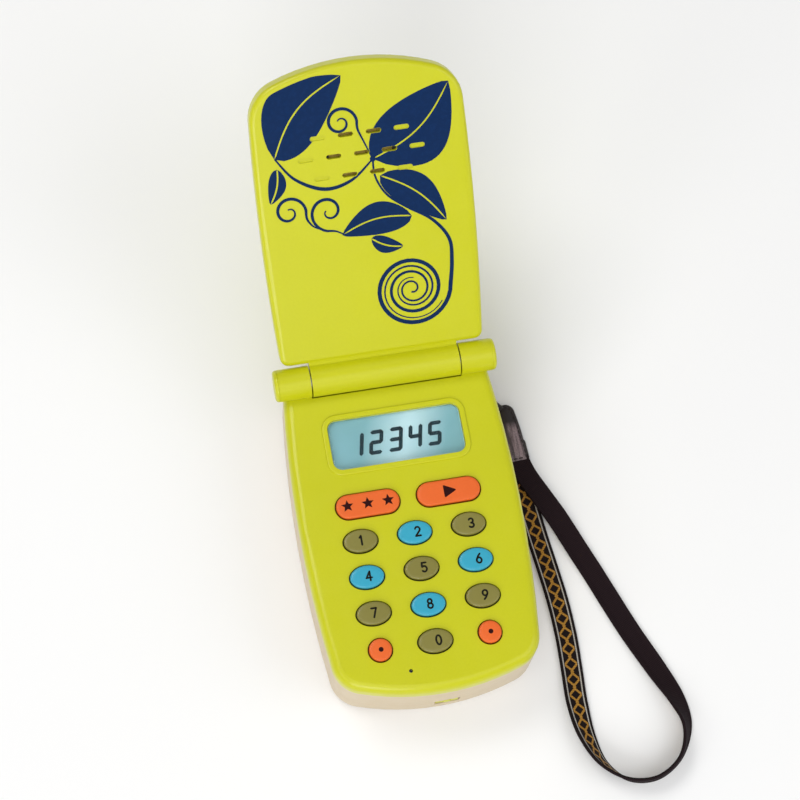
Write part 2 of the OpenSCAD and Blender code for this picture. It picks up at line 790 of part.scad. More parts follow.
module key_1() { oval_key(-1, 0, olive); }
module key_2() { oval_key(0, 0, blue); }
module key_3() { oval_key(1, 0, olive); }
module key_4() { oval_key(-1, 1, blue); }
module key_5() { oval_key(0, 1, olive); }
module key_6() { oval_key(1, 1, blue); }
module key_7() { oval_key(-1, 2, olive); }
module key_8() { oval_key(0, 2, blue); }
module key_9() { oval_key(1, 2, olive); }
module key_0() { oval_key(0, 3, olive); }
module round_key_left() { round_key(-1); }
module round_key_right() { round_key(1); }
module pill_key_stars() { pill_key(-1); }
module pill_key_play() { pill_key(1); }

// ---------- Strap ----------

module strap_cord() {
  color("#1d1a18") wire(spline(cord_route, 2), cord_d, [1, 0.2, 0.3]);
}

module strap_tab() {
  lean = atan2(tab_top[0] - tab_end[0], tab_top[1] - tab_end[1]);
  color("#3b332d") hull() {
    translate(tab_top) cylinder(r = tab_top_r, h = tab_t, $fn = 32);
    translate(tab_end) rotate([0, 0, -lean]) translate([0, 0, tab_t / 2])
      cube([tab_w, 1.6, tab_t], center = true);
  }
}

module strap_ribbon() {
  w = ribbon_w / 2;
  t = ribbon_t / 2;
  edge = 0.4;
  half = [[w, -t * edge], [w, t * edge], [w - edge, t], [edge - w, t]];
  color("#2a211c") sweep(spline(ribbon_route, 3), concat(half, -half));
}

front_housing();
mid_frame();
rear_cover();
battery_door();
door_screw();
end_clip();
housing_screws();
board_screws();
circuit_board();
keypad_membrane();
microphone();
display_module();
display_lens();
battery_left();
battery_right();
battery_springs();
battery_contacts();
hinge_pin_left();
hinge_pin_right();
hinge_caps();
speaker_lead_base();
speaker_lead_lid();
speaker();
lid_inner_shell();
lid_outer_shell();
key_1();
key_2();
key_3();
key_4();
key_5();
key_6();
key_7();
key_8();
key_9();
key_0();
round_key_left();
round_key_right();
pill_key_stars();
pill_key_play();
strap_cord();
strap_tab();
strap_ribbon();
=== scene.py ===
import json
import math

import bmesh
import bpy
import numpy as np
from mathutils import Matrix, Vector


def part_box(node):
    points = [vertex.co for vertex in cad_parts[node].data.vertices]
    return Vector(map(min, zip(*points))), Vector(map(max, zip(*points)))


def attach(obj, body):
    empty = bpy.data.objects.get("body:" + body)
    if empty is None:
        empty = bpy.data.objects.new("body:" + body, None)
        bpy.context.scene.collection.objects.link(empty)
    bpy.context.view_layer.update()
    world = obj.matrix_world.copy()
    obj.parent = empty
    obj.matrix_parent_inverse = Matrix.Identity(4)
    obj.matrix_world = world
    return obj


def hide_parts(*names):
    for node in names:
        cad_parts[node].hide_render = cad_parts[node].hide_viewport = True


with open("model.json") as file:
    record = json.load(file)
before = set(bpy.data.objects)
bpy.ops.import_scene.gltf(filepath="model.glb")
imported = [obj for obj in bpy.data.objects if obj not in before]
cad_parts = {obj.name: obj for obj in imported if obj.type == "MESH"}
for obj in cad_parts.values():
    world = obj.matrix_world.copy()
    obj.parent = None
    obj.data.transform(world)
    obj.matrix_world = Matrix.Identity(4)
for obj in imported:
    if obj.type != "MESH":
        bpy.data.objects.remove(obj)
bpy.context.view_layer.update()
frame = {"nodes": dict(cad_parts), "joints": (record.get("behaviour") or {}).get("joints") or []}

MM = 0.001
QUARTER = math.pi / 2

# ---------- Places taken from the frame ----------

LENS_LOW, LENS_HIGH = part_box("display_lens")
DISPLAY_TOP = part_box("display_module")[1].z
LID_JOINT = next(j for j in frame["joints"] if j["name"] == "lid_hinge")
HINGE = Vector(LID_JOINT["pos_m"])
OPEN_ANGLE = math.radians(180 - LID_JOINT["range_deg"][1])
# Turns a place on the flat lid, (across, away from the hinge, out of the inner face), into the frame
LID_PLACE = Matrix.Translation(HINGE) @ Matrix.Rotation(OPEN_ANGLE, 4, "X")
LID_FACE = 0.5 * MM     # the lid's inner face above its hinge axis
FLAT = Matrix.Identity(4)


def middle(node):
    low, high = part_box(node)
    return (low + high) / 2


# ---------- Camera ----------

CAMERA_PLACE = Vector((-66.5, -158.9, 612.8)) * MM
CAMERA_RIGHT = Vector((0.9823, -0.1789, 0.056))
CAMERA_UP = Vector((0.151, 0.9321, 0.3292))
CAMERA_SENSOR = 36      # width of the sensor and length of the lens, in millimetres
CAMERA_LENS = 101.06


def make_camera():
    back = CAMERA_RIGHT.cross(CAMERA_UP).normalized()
    up = back.cross(CAMERA_RIGHT).normalized()
    data = bpy.data.cameras.new("camera")
    data.sensor_width = CAMERA_SENSOR
    data.lens = CAMERA_LENS
    data.clip_start = 0.01
    data.clip_end = 20
    camera = bpy.data.objects.new("camera", data)
    bpy.context.scene.collection.objects.link(camera)
    turn = Matrix((CAMERA_RIGHT.normalized(), up, back)).transposed().to_4x4()
    camera.matrix_world = Matrix.Translation(CAMERA_PLACE) @ turn
    bpy.context.scene.camera = camera


make_camera()

# ---------- Mesh helpers ----------


def add_object(name, mesh):
    thing = bpy.data.objects.new(name, mesh)
    bpy.context.scene.collection.objects.link(thing)
    return thing


def mesh_object(name, points, faces, smooth=True):
    mesh = bpy.data.meshes.new(name)
    mesh.from_pydata([tuple(p) for p in points], [], faces)
    mesh.validate()
    mesh.update()
    if smooth:
        mesh.polygons.foreach_set("use_smooth", [True] * len(mesh.polygons))
    return add_object(name, mesh)


def spline(route, steps):
    """Points on the smooth curve through the route, as part.scad computes them."""
    last = len(route) - 1
    made = []
    for k in range(last * steps + 1):
        i = min(k // steps, last - 1)
        u = k / steps - i
        a, b, c, d = (np.array(route[j], float) for j in (max(i - 1, 0), i, i + 1, min(i + 2, last)))
        made.append(0.5 * (
            2 * b + (c - a) * u + (2 * a - 5 * b + 4 * c - d) * u * u + (3 * b - a - 3 * c + d) * u ** 3))
    return np.array(made)


def unit(v):
    return v / np.linalg.norm(v)


def frames_along(path, level):
    """For each point of a path: its place, its side and its up direction. A fourth number is the roll."""
    found = []
    for i, q in enumerate(path):
        ahead = unit(path[min(i + 1, len(path) - 1)][:3] - path[max(i - 1, 0)][:3])
        side = unit(np.cross(ahead, level))
        up = np.cross(side, ahead)
        roll = math.radians(q[3]) if len(q) > 3 else 0
        a = side * math.cos(roll) + up * math.sin(roll)
        found.append((q[:3], a, np.cross(a, ahead)))
    return found


def tube_faces(rings, ring_size, closed_ends=True):
    faces = []
    for i in range(rings - 1):
        for j in range(ring_size):
            k = (j + 1) % ring_size
            here, after = i * ring_size, (i + 1) * ring_size
            faces.append((here + j, after + j, after + k, here + k))
    if closed_ends:
        faces.append(tuple(range(ring_size)))
        faces.append(tuple((rings - 1) * ring_size + j for j in reversed(range(ring_size))))
    return faces


def faced_outward(thing, split_big=False):
    """Turns an object's faces outward and, on request, splits those with over four corners."""
    work = bmesh.new()
    work.from_mesh(thing.data)
    bmesh.ops.recalc_face_normals(work, faces=work.faces)
    if split_big:
        bmesh.ops.triangulate(work, faces=[f for f in work.faces if len(f.verts) > 4])
    work.to_mesh(thing.data)
    work.free()
    return thing


def slab(name, outline, low, high, place=FLAT):
    """A flat plate with this outline, in millimetres, between two heights in metres."""
    n = len(outline)
    points = [place @ Vector((x * MM, y * MM, z)) for z in (low, high) for x, y in outline]
    faces = [tuple(reversed(range(n))), tuple(range(n, 2 * n))]
    faces += [(j, (j + 1) % n, n + (j + 1) % n, n + j) for j in range(n)]
    return faced_outward(mesh_object(name, points, faces, smooth=False), split_big=True)


def joined(name, things):
    """One object made of several, which are removed."""
    whole = bmesh.new()
    for thing in things:
        thing.data.transform(thing.matrix_world)
        whole.from_mesh(thing.data)
    mesh = bpy.data.meshes.new(name)
    whole.to_mesh(mesh)
    whole.free()
    for thing in things:
        bpy.data.objects.remove(thing)
    return add_object(name, mesh)


def arc(cx, cy, rx, ry, start, end, steps=14):
    """Points on part of an ellipse, with angles in degrees."""
    turns = [math.radians(start + (end - start) * k / steps) for k in range(steps + 1)]
    return [(cx + rx * math.cos(a), cy + ry * math.sin(a)) for a in turns]


# ---------- Strap places, repeated from part.scad ----------

# The ribbon's centre line in millimetres: x, y, z and roll in degrees
RIBBON_ROUTE = [
    (35.7, 22.4, 1.9, 0), (37.2, 17, 1.8, 0), (40.1, 10.5, 1.7, 0), (43.5, 3, 1.6, 0),
    (47.1, -6, 0.9, 0), (50.3, -14, 0.5, 0), (53.6, -23, 0.5, 0), (57.4, -33, 0.5, 4),
    (62, -44, 1.1, 12), (65.8, -54, 2.2, 36), (66.6, -62, 3.1, 62), (63, -69.8, 3.3, 82),
    (55.8, -74.2, 3.3, 90), (47.8, -73.4, 3.3, 98), (41.6, -67.8, 3.1, 118), (38.8, -59.4, 2.2, 144),
    (38.2, -50, 1.1, 168), (38.7, -41, 0.5, 176), (39.1, -31, 0.5, 180), (38.8, -20.4, 0.5, 180),
    (37.8, -10, 0.5, 180), (36.6, 1, 0.5, 180), (35.7, 12, 0.6, 180), (35.4, 22.4, 0.7, 180),
]
# The short cord's centre line in millimetres
CORD_ROUTE = [
    (34.5, 32.2, 1.4), (34.2, 34, 1.4), (33.6, 35.75, 1.45), (32.65, 37.4, 1.65), (31.6, 39, 2),
    (30.8, 40.7, 2.45), (30.4, 42.4, 2.8), (30.3, 44.44, 3), (30.3, 45.95, 4), (30.3, 46.55, 5.75),
    (30.3, 45.95, 7.5), (30.3, 44.39, 8.52), (30.5, 42.5, 8.35), (30.8, 41.25, 7.45), (31.25, 40.45, 6),
    (31.85, 39.8, 4.55), (32.75, 39.1, 3.25), (33.9, 38.1, 2.3), (35.05, 36.6, 1.7), (35.85, 34.8, 1.45),
    (36.2, 32.9, 1.4),
]
CORD_LEVEL = (0.94, 0.19, 0.28)     # a direction that the cord never runs along
RIBBON_HALF_W = 3.1
RIBBON_T = 0.9
CORD_D = 1.1
TAB_TOP = (34.9, 36.3)
TAB_TOP_R = 2.7
TAB_END = (35.6, 22.0)
TAB_HALF_W = 3.6
TAB_T = 2.8

# ---------- Material helpers ----------


def linear(rgb):
    """Linear colour from an sRGB colour with values up to 255."""
    return tuple(c / 12.92 if c <= 0.04045 else ((c + 0.055) / 1.055) ** 2.4 for c in (v / 255 for v in rgb))


class Nodes:
    """A material's nodes, with its Principled shader and its object coordinates ready."""

    def __init__(self, name):
        self.material = bpy.data.materials.new(name)
        self.material.use_nodes = True
        self.tree = self.material.node_tree
        self.shader = self.tree.nodes["Principled BSDF"]
        self.output = self.tree.nodes["Material Output"]
        self.place = self.add("ShaderNodeTexCoord").outputs["Object"]

    def add(self, kind, **settings):
        node = self.tree.nodes.new(kind)
        for key, value in settings.items():
            setattr(node, key, value)
        return node

    def link(self, a, b):
        self.tree.links.new(a, b)

    def noise(self, scale, detail=3, rough=0.5, source=None):
        node = self.add("ShaderNodeTexNoise")
        node.inputs["Scale"].default_value = scale
        node.inputs["Detail"].default_value = detail
        node.inputs["Roughness"].default_value = rough
        self.link(source or self.place, node.inputs["Vector"])
        return node.outputs["Fac"]

    def math(self, operation, a, b=0.0):
        node = self.add("ShaderNodeMath", operation=operation)
        for socket, value in zip(node.inputs, (a, b)):
            if isinstance(value, (int, float)):
                socket.default_value = value
            else:
                self.link(value, socket)
        return node.outputs[0]

    def remap(self, value, low, high, to_low, to_high):
        node = self.add("ShaderNodeMapRange")
        self.link(value, node.inputs["Value"])
        for key, number in zip(("From Min", "From Max", "To Min", "To Max"), (low, high, to_low, to_high)):
            node.inputs[key].default_value = number
        return node.outputs["Result"]

    def mix(self, factor, a, b):
        node = self.add("ShaderNodeMix", data_type="RGBA")
        for socket, value in zip((node.inputs[0], node.inputs[6], node.inputs[7]), (factor, a, b)):
            if isinstance(value, tuple):
                socket.default_value = (*value, 1)
            elif isinstance(value, (int, float)):
                socket.default_value = value
            else:
                self.link(value, socket)
        return node.outputs[2]

    def axes(self, source=None):
        """The X, Y and Z of a place."""
        node = self.add("ShaderNodeSeparateXYZ")
        self.link(source or self.place, node.inputs[0])
        return tuple(node.outputs)

    def offset_from(self, centre):
        node = self.add("ShaderNodeVectorMath", operation="SUBTRACT")
        node.inputs[1].default_value = centre
        self.link(self.place, node.inputs[0])
        return node.outputs[0]

    def distance(self, source):
        node = self.add("ShaderNodeVectorMath", operation="LENGTH")
        self.link(source, node.inputs[0])
        return node.outputs["Value"]

    def set(self, **values):
        """Sets sockets of the shader, such as Coat_Weight for Coat Weight."""
        for key, value in values.items():
            self.shader.inputs[key.replace("_", " ")].default_value = value

    def colour(self, value):
        self.link(value, self.shader.inputs["Base Color"])

    def roughness(self, value):
        self.link(value, self.shader.inputs["Roughness"])

    def bump(self, height, strength, distance, under=None):
        node = self.add("ShaderNodeBump")
        node.inputs["Strength"].default_value = strength
        node.inputs["Distance"].default_value = distance
        self.link(height, node.inputs["Height"])
        if under is not None:
            self.link(under, node.inputs["Normal"])
        self.link(node.outputs[0], self.shader.inputs["Normal"])
        return node.outputs[0]


def scaled(rgb, by):
    return tuple(min(1.0, c * by) for c in rgb)


def moulded(name, rgb, rough=0.3, grain=0.05, coat=0.2, mottle=0.04, painted_shade_below=None):
    """Moulded plastic: faint mottling, uneven gloss and orange peel. Keys get painted shade down their
    sides.
    """
    n = Nodes(name)
    base = linear(rgb)
    tone = n.mix(n.noise(38, 2), scaled(base, 1 - mottle), scaled(base, 1 + mottle))
    tone = n.mix(n.remap(n.noise(1500, 2), 0.35, 0.65, 0, 0.3), tone, scaled(base, 0.94))
    if painted_shade_below is not None:
        # Painted shade: below this height the keys' sides darken to half their colour.
        low = n.remap(n.axes()[2], painted_shade_below, painted_shade_below - 0.4 * MM, 0, 1)
        tone = n.mix(low, tone, scaled(base, 0.5))
    n.colour(tone)
    n.roughness(n.remap(n.noise(210, 4, 0.6), 0.3, 0.7, rough - 0.05, rough + 0.07))
    peel = n.bump(n.noise(650, 2), grain, 0.0004)
    n.bump(n.noise(4200, 1), grain * 0.6, 0.00008, peel)
    n.set(Coat_Weight=coat, Coat_Roughness=0.14, IOR=1.46)
    return n.material


def metal(name, rgb, rough=0.3):
    """Bare metal with drawn streaks."""
    n = Nodes(name)
    base = linear(rgb)
    streak = n.add("ShaderNodeMapping")
    streak.inputs["Scale"].default_value = (1, 1, 14)
    n.link(n.place, streak.inputs["Vector"])
    lines = n.noise(420, 4, 0.7, streak.outputs[0])
    n.colour(n.mix(n.remap(lines, 0.3, 0.7, 0, 1), scaled(base, 0.82), scaled(base, 1.08)))
    n.roughness(n.remap(lines, 0.3, 0.7, rough - 0.08, rough + 0.14))
    n.bump(lines, 0.12, 0.0002)
    n.set(Metallic=1)
    return n.material


def printed(name, rgb, rough=0.5):
    """Ink or paint that lies on plastic, slightly thin in places."""
    n = Nodes(name)
    base = linear(rgb)
    body = n.noise(900, 3, 0.6)
    n.colour(n.mix(n.remap(body, 0.45, 0.75, 0, 0.5), base, tuple(c * 1.4 + 0.001 for c in base)))
    n.roughness(n.remap(n.noise(300, 2), 0.3, 0.7, rough - 0.06, rough + 0.08))
    n.bump(n.noise(2600, 2), 0.15, 0.00005)
    n.set(Specular_IOR_Level=0.12)
    return n.material


def rubber(name, rgb, rough=0.6):
    """Matt rubber, thread or soft insulation."""
    n = Nodes(name)
    base = linear(rgb)
    n.colour(n.mix(n.noise(160, 3), scaled(base, 0.85), scaled(base, 1.12)))
    n.roughness(n.remap(n.noise(500, 2), 0.3, 0.7, rough - 0.08, rough + 0.1))
    n.bump(n.noise(1800, 2), 0.2, 0.0001)
    return n.material


def speaker_paper(name):
    """Dark basket round a ringed khaki paper cone."""
    n = Nodes(name)
    ring_pitch, cone_r = 1.1 * MM, 8.6 * MM
    out = n.distance(n.offset_from(middle("speaker")))
    rings = n.math("SINE", n.math("MULTIPLY", out, 2 * math.pi / ring_pitch))
    paper = n.mix(n.noise(900, 4, 0.7), linear((214, 186, 84)), linear((240, 212, 112)))
    n.colour(n.mix(n.remap(out, cone_r, cone_r + 0.3 * MM, 0, 1), paper, linear((46, 48, 52))))
    n.roughness(n.remap(n.noise(400), 0.3, 0.7, 0.6, 0.8))
    n.bump(rings, 0.3, 0.0001)
    return n.material


def leather(name):
    """Dark grained leather, with a painted sheen: paler lengthwise streaks over the tab's lower two thirds.
    """
    n = Nodes(name)
    cells = n.add("ShaderNodeTexVoronoi", feature="DISTANCE_TO_EDGE")
    cells.inputs["Scale"].default_value = 1700
    n.link(n.place, cells.inputs["Vector"])
    crease = n.remap(cells.outputs["Distance"], 0.0, 0.14, 0, 1)
    dark, light = linear((34, 25, 24)), linear((150, 130, 134))
    lean_x, lean_y = TAB_TOP[0] - TAB_END[0], TAB_TOP[1] - TAB_END[1]
    run = n.add("ShaderNodeMapping")
    run.inputs["Rotation"].default_value = (0, 0, math.atan2(lean_x, lean_y))
    run.inputs["Scale"].default_value = (1, 0.07, 1)
    n.link(n.place, run.inputs["Vector"])
    # Painted sheen: pale streaks along the tab, fading out near its top and its edges, stand in for the
    # highlight on its crowned face.
    streak = n.remap(n.noise(1300, 3, 0.6, run.outputs[0]), 0.36, 0.62, 0.15, 1)
    x, y, _ = n.axes()
    low_end = n.remap(y, 33.4 * MM, 31.2 * MM, 0, 1)
    lean = n.math("MULTIPLY", n.math("SUBTRACT", y, TAB_END[1] * MM), lean_x / lean_y)
    across = n.math("ABSOLUTE", n.math("SUBTRACT", n.math("SUBTRACT", x, lean), TAB_END[0] * MM))
    inner = n.remap(across, 3.0 * MM, 1.8 * MM, 0, 1)
    painted_sheen = n.math("MULTIPLY", n.math("MULTIPLY", streak, low_end), inner)
    tone = n.mix(painted_sheen, dark, light)
    n.colour(n.mix(n.remap(crease, 0, 1, 0.35, 0), tone, scaled(dark, 0.6)))
    n.roughness(n.remap(n.noise(700, 3), 0.3, 0.7, 0.36, 0.55))
    under = n.bump(n.noise(240, 3), 0.25, 0.0006)
    n.bump(crease, 0.35, 0.00012, under)
    n.set(Coat_Weight=0.15, Coat_Roughness=0.35)
    return n.material


def lcd(name):
    """Pale grey-blue display cell with painted light, brighter in a slanted band near the middle, with its
    faint dot grid.
    """
    n = Nodes(name)
    x, y, _ = n.axes(n.offset_from(middle("display_module")))
    lean = n.math("ADD", x, n.math("MULTIPLY", y, -0.35))
    # Painted light: the cell is lit paler along a slanted band near its middle.
    away = n.math("ABSOLUTE", n.math("ADD", lean, -2.5 * MM))
    glow = n.remap(away, 1 * MM, 12 * MM, 1, 0)
    tone = n.mix(glow, linear((114, 160, 163)), linear((188, 214, 217)))
    tone = n.mix(n.remap(n.noise(90, 3), 0.3, 0.7, 0, 0.4), tone, linear((134, 180, 194)))
    cell = 0.42 * MM
    grid = None
    for axis in (x, y):
        step = n.math("ABSOLUTE", n.math("SUBTRACT", n.math("FRACT", n.math("DIVIDE", axis, cell)), 0.5))
        line = n.remap(step, 0.42, 0.5, 0, 1)
        grid = line if grid is None else n.math("MAXIMUM", grid, line)
    n.colour(n.mix(n.math("MULTIPLY", grid, 0.12), tone, linear((90, 130, 140))))
    n.roughness(n.remap(n.noise(400, 2), 0.3, 0.7, 0.3, 0.42))
    return n.material


def clear_plastic(name):
    """Clear window that lets the lamps' light through to the display."""
    n = Nodes(name)
    n.colour(n.mix(n.noise(60, 2), linear((238, 247, 250)), linear((250, 253, 254))))
    n.roughness(n.remap(n.noise(500, 4, 0.7), 0.4, 0.8, 0.03, 0.11))
    n.set(Transmission_Weight=1, IOR=1.47)
    clear = n.add("ShaderNodeBsdfTransparent")
    shadow = n.add("ShaderNodeLightPath").outputs["Is Shadow Ray"]
    mixed = n.add("ShaderNodeMixShader")
    n.link(shadow, mixed.inputs[0])
    n.link(n.shader.outputs[0], mixed.inputs[1])
    n.link(clear.outputs[0], mixed.inputs[2])
    n.link(mixed.outputs[0], n.output.inputs["Surface"])
    return n.material


def board_green(name):
    """Circuit board with faint tracks and glass weave."""
    n = Nodes(name)
    base = linear((38, 110, 64))
    weave = n.add("ShaderNodeTexChecker")
    weave.inputs["Scale"].default_value = 1400
    n.link(n.place, weave.inputs["Vector"])
    tracks = n.add("ShaderNodeTexBrick")
    tracks.inputs["Scale"].default_value = 420
    tracks.inputs["Color1"].default_value = (1, 1, 1, 1)
    tracks.inputs["Color2"].default_value = (0.8, 0.8, 0.8, 1)
    tracks.inputs["Mortar"].default_value = (0, 0, 0, 1)
    n.link(n.place, tracks.inputs["Vector"])
    tone = n.mix(tracks.outputs["Color"], scaled(base, 0.7), base)
    n.colour(n.mix(n.math("MULTIPLY", weave.outputs["Fac"], 0.1), tone, scaled(base, 1.3)))
    n.roughness(n.remap(n.noise(300), 0.3, 0.7, 0.3, 0.45))
    n.bump(weave.outputs["Fac"], 0.08, 0.00003)
    return n.material


def thread_black(name):
    """Twisted thread of the short cord."""
    n = Nodes(name)
    fibres = n.noise(3200, 3, 0.7)
    n.colour(n.mix(fibres, linear((14, 12, 12)), linear((58, 52, 50))))
    n.roughness(n.remap(fibres, 0.3, 0.7, 0.65, 0.85))
    n.bump(fibres, 0.4, 0.0001)
    n.set(Sheen_Weight=0.3)
    return n.material


WARP_PITCH = 0.42 * MM
WEFT_PITCH = 0.5 * MM


def ribbed_weave(n):
    """Height of a ribbed weave, and the place across and along a ribbon, in metres."""
    across, along, _ = n.axes(n.add("ShaderNodeTexCoord").outputs["UV"])
    warp = n.math("ABSOLUTE", n.math("SINE", n.math("MULTIPLY", across, math.pi / WARP_PITCH)))
    weft = n.math("ABSOLUTE", n.math("SINE", n.math("MULTIPLY", along, math.pi / WEFT_PITCH)))
    height = n.math("ADD", n.math("MULTIPLY", warp, 0.55), n.math("MULTIPLY", weft, 0.45))
    return height, across, along


def ribbon_outer(name):
    """Plain black weave with a faint brown cast, painted paler on its raised threads and darker in its
    hollows.
    """
    n = Nodes(name)
    height = ribbed_weave(n)[0]
    # Painted light and shade: raised threads paler, hollows darker.
    n.colour(n.mix(height, linear((6, 3, 5)), linear((40, 27, 31))))
    n.roughness(n.remap(height, 0, 1, 0.9, 0.65))
    n.bump(height, 0.7, 0.00012)
    n.set(Specular_IOR_Level=0.1)
    return n.material


def ribbon_inner(name, half_width):
    """Woven figure in gold thread between two pale border lines. Each colour is painted paler on raised
    threads and darker in the hollows.
    """
    n = Nodes(name)
    height, across, along = ribbed_weave(n)
    off_middle = n.math("ABSOLUTE", across)
    repeat, diamond_half, line_half, dot_half = 4.4 * MM, 1.75 * MM, 0.5 * MM, 0.8 * MM
    border_in, border_half, fade = 1.0 * MM, 0.2 * MM, 0.1 * MM
    wave = n.math("PINGPONG", along, repeat / 2)
    diamond = n.math("ABSOLUTE", n.math("SUBTRACT", n.math("ADD", wave, off_middle), diamond_half))
    figure = n.remap(diamond, line_half, line_half - 1.4 * fade, 0, 1)
    dots = n.math("PINGPONG", n.math("ADD", along, repeat / 2), repeat / 2)
    dot = n.math("ADD", dots, n.math("MULTIPLY", off_middle, 1.3))
    core = n.remap(dot, dot_half, dot_half - 1.5 * fade, 0, 1)
    inside = n.remap(off_middle, half_width - 1.3 * MM, half_width - 1.3 * MM - fade, 0, 1)
    gold = n.math("MULTIPLY", n.math("MAXIMUM", figure, core), inside)
    border = n.math("ABSOLUTE", n.math("SUBTRACT", off_middle, half_width - border_in))
    silver = n.remap(border, border_half, border_half - 0.8 * fade, 0, 1)
    # Painted light and shade: each colour is paler on raised threads and darker in the hollows.
    dark = n.mix(height, linear((5, 2, 3)), linear((28, 18, 18)))
    golden = n.mix(height, linear((96, 60, 16)), linear((190, 140, 56)))
    pale = n.mix(height, linear((120, 116, 110)), linear((215, 210, 200)))
    n.colour(n.mix(silver, n.mix(gold, dark, golden), pale))
    n.roughness(n.remap(n.math("MAXIMUM", gold, silver), 0, 1, 0.75, 0.45))
    n.set(Specular_IOR_Level=0.15)
    n.bump(n.math("ADD", height, n.math("MULTIPLY", n.math("MAXIMUM", gold, silver), 0.6)), 0.7, 0.00012)
    return n.material


def floor_paper(name):
    """Pale paper that glows faintly far from the phone, where the lamps don't reach."""
    n = Nodes(name)
    glow_from, glow_to, glow = 0.3, 1.6, 0.5
    n.colour(n.mix(n.noise(6, 2), linear((248, 248, 248)), linear((253, 253, 253))))
    n.roughness(n.remap(n.noise(20, 2), 0.3, 0.7, 0.75, 0.85))
    n.set(Specular_IOR_Level=0.1, Emission_Color=(1, 1, 1, 1))
    far = n.remap(n.distance(n.place), glow_from, glow_to, 0, glow)
    n.link(far, n.shader.inputs["Emission Strength"])
    return n.material


# Height below which the keys get painted shade on their sides
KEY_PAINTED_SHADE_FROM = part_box("key_1")[1].z - 0.42 * MM

LIME = moulded("lime_plastic", (202, 203, 14), rough=0.34, coat=0.16)
CREAM = moulded("cream_plastic", (208, 190, 158), rough=0.4, coat=0.1)
KEY_OLIVE = moulded("key_olive", (134, 127, 60), rough=0.34, grain=0.15, mottle=0.1, painted_shade_below=KEY_PAINTED_SHADE_FROM)
KEY_BLUE = moulded("key_blue", (52, 168, 198), rough=0.33, grain=0.13, mottle=0.07, painted_shade_below=KEY_PAINTED_SHADE_FROM)
KEY_ORANGE = moulded("key_orange", (236, 104, 34), rough=0.46, grain=0.16, coat=0.08, mottle=0.07,
                     painted_shade_below=KEY_PAINTED_SHADE_FROM)
SCREW_STEEL = metal("screw_steel", (196, 196, 200), 0.28)
CONTACT_STEEL = metal("contact_steel", (206, 204, 198), 0.34)
BOARD = board_green("board_green")
SILICONE = rubber("membrane_silicone", (70, 68, 56))
MICROPHONE = metal("microphone_can", (176, 180, 186), 0.32)
DISPLAY_CELL = lcd("display_cell")
LENS = clear_plastic("lens_clear")
BATTERY = moulded("battery_wrap", (74, 79, 86), rough=0.35)
LEAD = rubber("lead_insulation", (176, 52, 52), 0.45)
SPEAKER = speaker_paper("speaker_black")
INK_NAVY = printed("ink_navy", (2, 38, 82))
INK_DARK = printed("ink_dark", (22, 22, 14), 0.45)
INK_MAROON = printed("ink_maroon", (44, 8, 10), 0.45)
LCD_INK = printed("lcd_ink", (10, 42, 50), 0.4)
LEATHER = leather("strap_leather")
STITCH = rubber("strap_stitch", (52, 46, 46), 0.7)
CORD = thread_black("strap_black_cord")

CAD_LOOKS = {
    "front_housing": LIME, "mid_frame": CREAM, "rear_cover": CREAM, "battery_door": CREAM,
    "door_screw": SCREW_STEEL, "end_clip": LIME, "housing_screws": SCREW_STEEL, "board_screws": SCREW_STEEL,
    "circuit_board": BOARD, "keypad_membrane": SILICONE, "microphone": MICROPHONE,
    "display_module": DISPLAY_CELL, "battery_left": BATTERY, "battery_right": BATTERY,
    "battery_springs": CONTACT_STEEL, "battery_contacts": CONTACT_STEEL, "hinge_pin_left": SCREW_STEEL,
    "hinge_pin_right": SCREW_STEEL, "hinge_caps": LIME, "speaker_lead_base": LEAD, "speaker_lead_lid": LEAD,
    "speaker": SPEAKER, "lid_inner_shell": LIME, "lid_outer_shell": LIME,
    "key_1": KEY_OLIVE, "key_2": KEY_BLUE, "key_3": KEY_OLIVE, "key_4": KEY_BLUE, "key_5": KEY_OLIVE,
    "key_6": KEY_BLUE, "key_7": KEY_OLIVE, "key_8": KEY_BLUE, "key_9": KEY_OLIVE, "key_0": KEY_OLIVE,
    "round_key_left": KEY_ORANGE, "round_key_right": KEY_ORANGE,
    "pill_key_stars": KEY_ORANGE, "pill_key_play": KEY_ORANGE,
}


def paint(thing, *materials):
    thing.data.materials.clear()
    for material in materials:
        thing.data.materials.append(material)
    return thing


# ---------- Strap ----------

def make_ribbon():
    """Woven ribbon with raised edge cords. The side that faces up where its roll is 0 is the plain one."""
    path = spline(RIBBON_ROUTE, 14)
    w, t = RIBBON_HALF_W, RIBBON_T / 2
    outer = [(w, 0.0), (w - 0.08, t * 0.85), (w - 0.35, t), (w - 0.7, t * 0.9), (w - 0.85, t * 0.66)]
    outer += [(x, t * 0.66) for x in (1.1, 0.0, -1.1)]
    outer += [(-x, z) for x, z in reversed(outer[:5])]
    section = outer + [(x, -z) for x, z in reversed(outer[1:-1])]
    size = len(section)
    points, uvs = [], []
    gone = 0.0
    for i, (place, a, b) in enumerate(frames_along(path, (0, 0, 1))):
        if i:
            gone += np.linalg.norm(path[i][:3] - path[i - 1][:3])
        for x, z in section:
            points.append((place + a * x + b * z) * MM)
            uvs.append((x * MM, gone * MM))
    ribbon = mesh_object("woven_strap", points, tube_faces(len(path), size))
    layer = ribbon.data.uv_layers.new(name="weave")
    for loop in ribbon.data.loops:
        layer.data[loop.index].uv = uvs[loop.vertex_index]
    paint(ribbon, ribbon_outer("strap_ribbon_weave"), ribbon_inner("strap_ribbon_figure", w * MM))
    inner_from = len(outer) - 1
    for face in ribbon.data.polygons:
        spots = [v % size for v in face.vertices]
        if min(s or size for s in spots) >= inner_from and len(spots) == 4:
            face.material_index = 1
    centre = path[:, :3] * MM
    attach(ribbon, "handset")
    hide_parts("strap_ribbon")
    return ribbon, centre


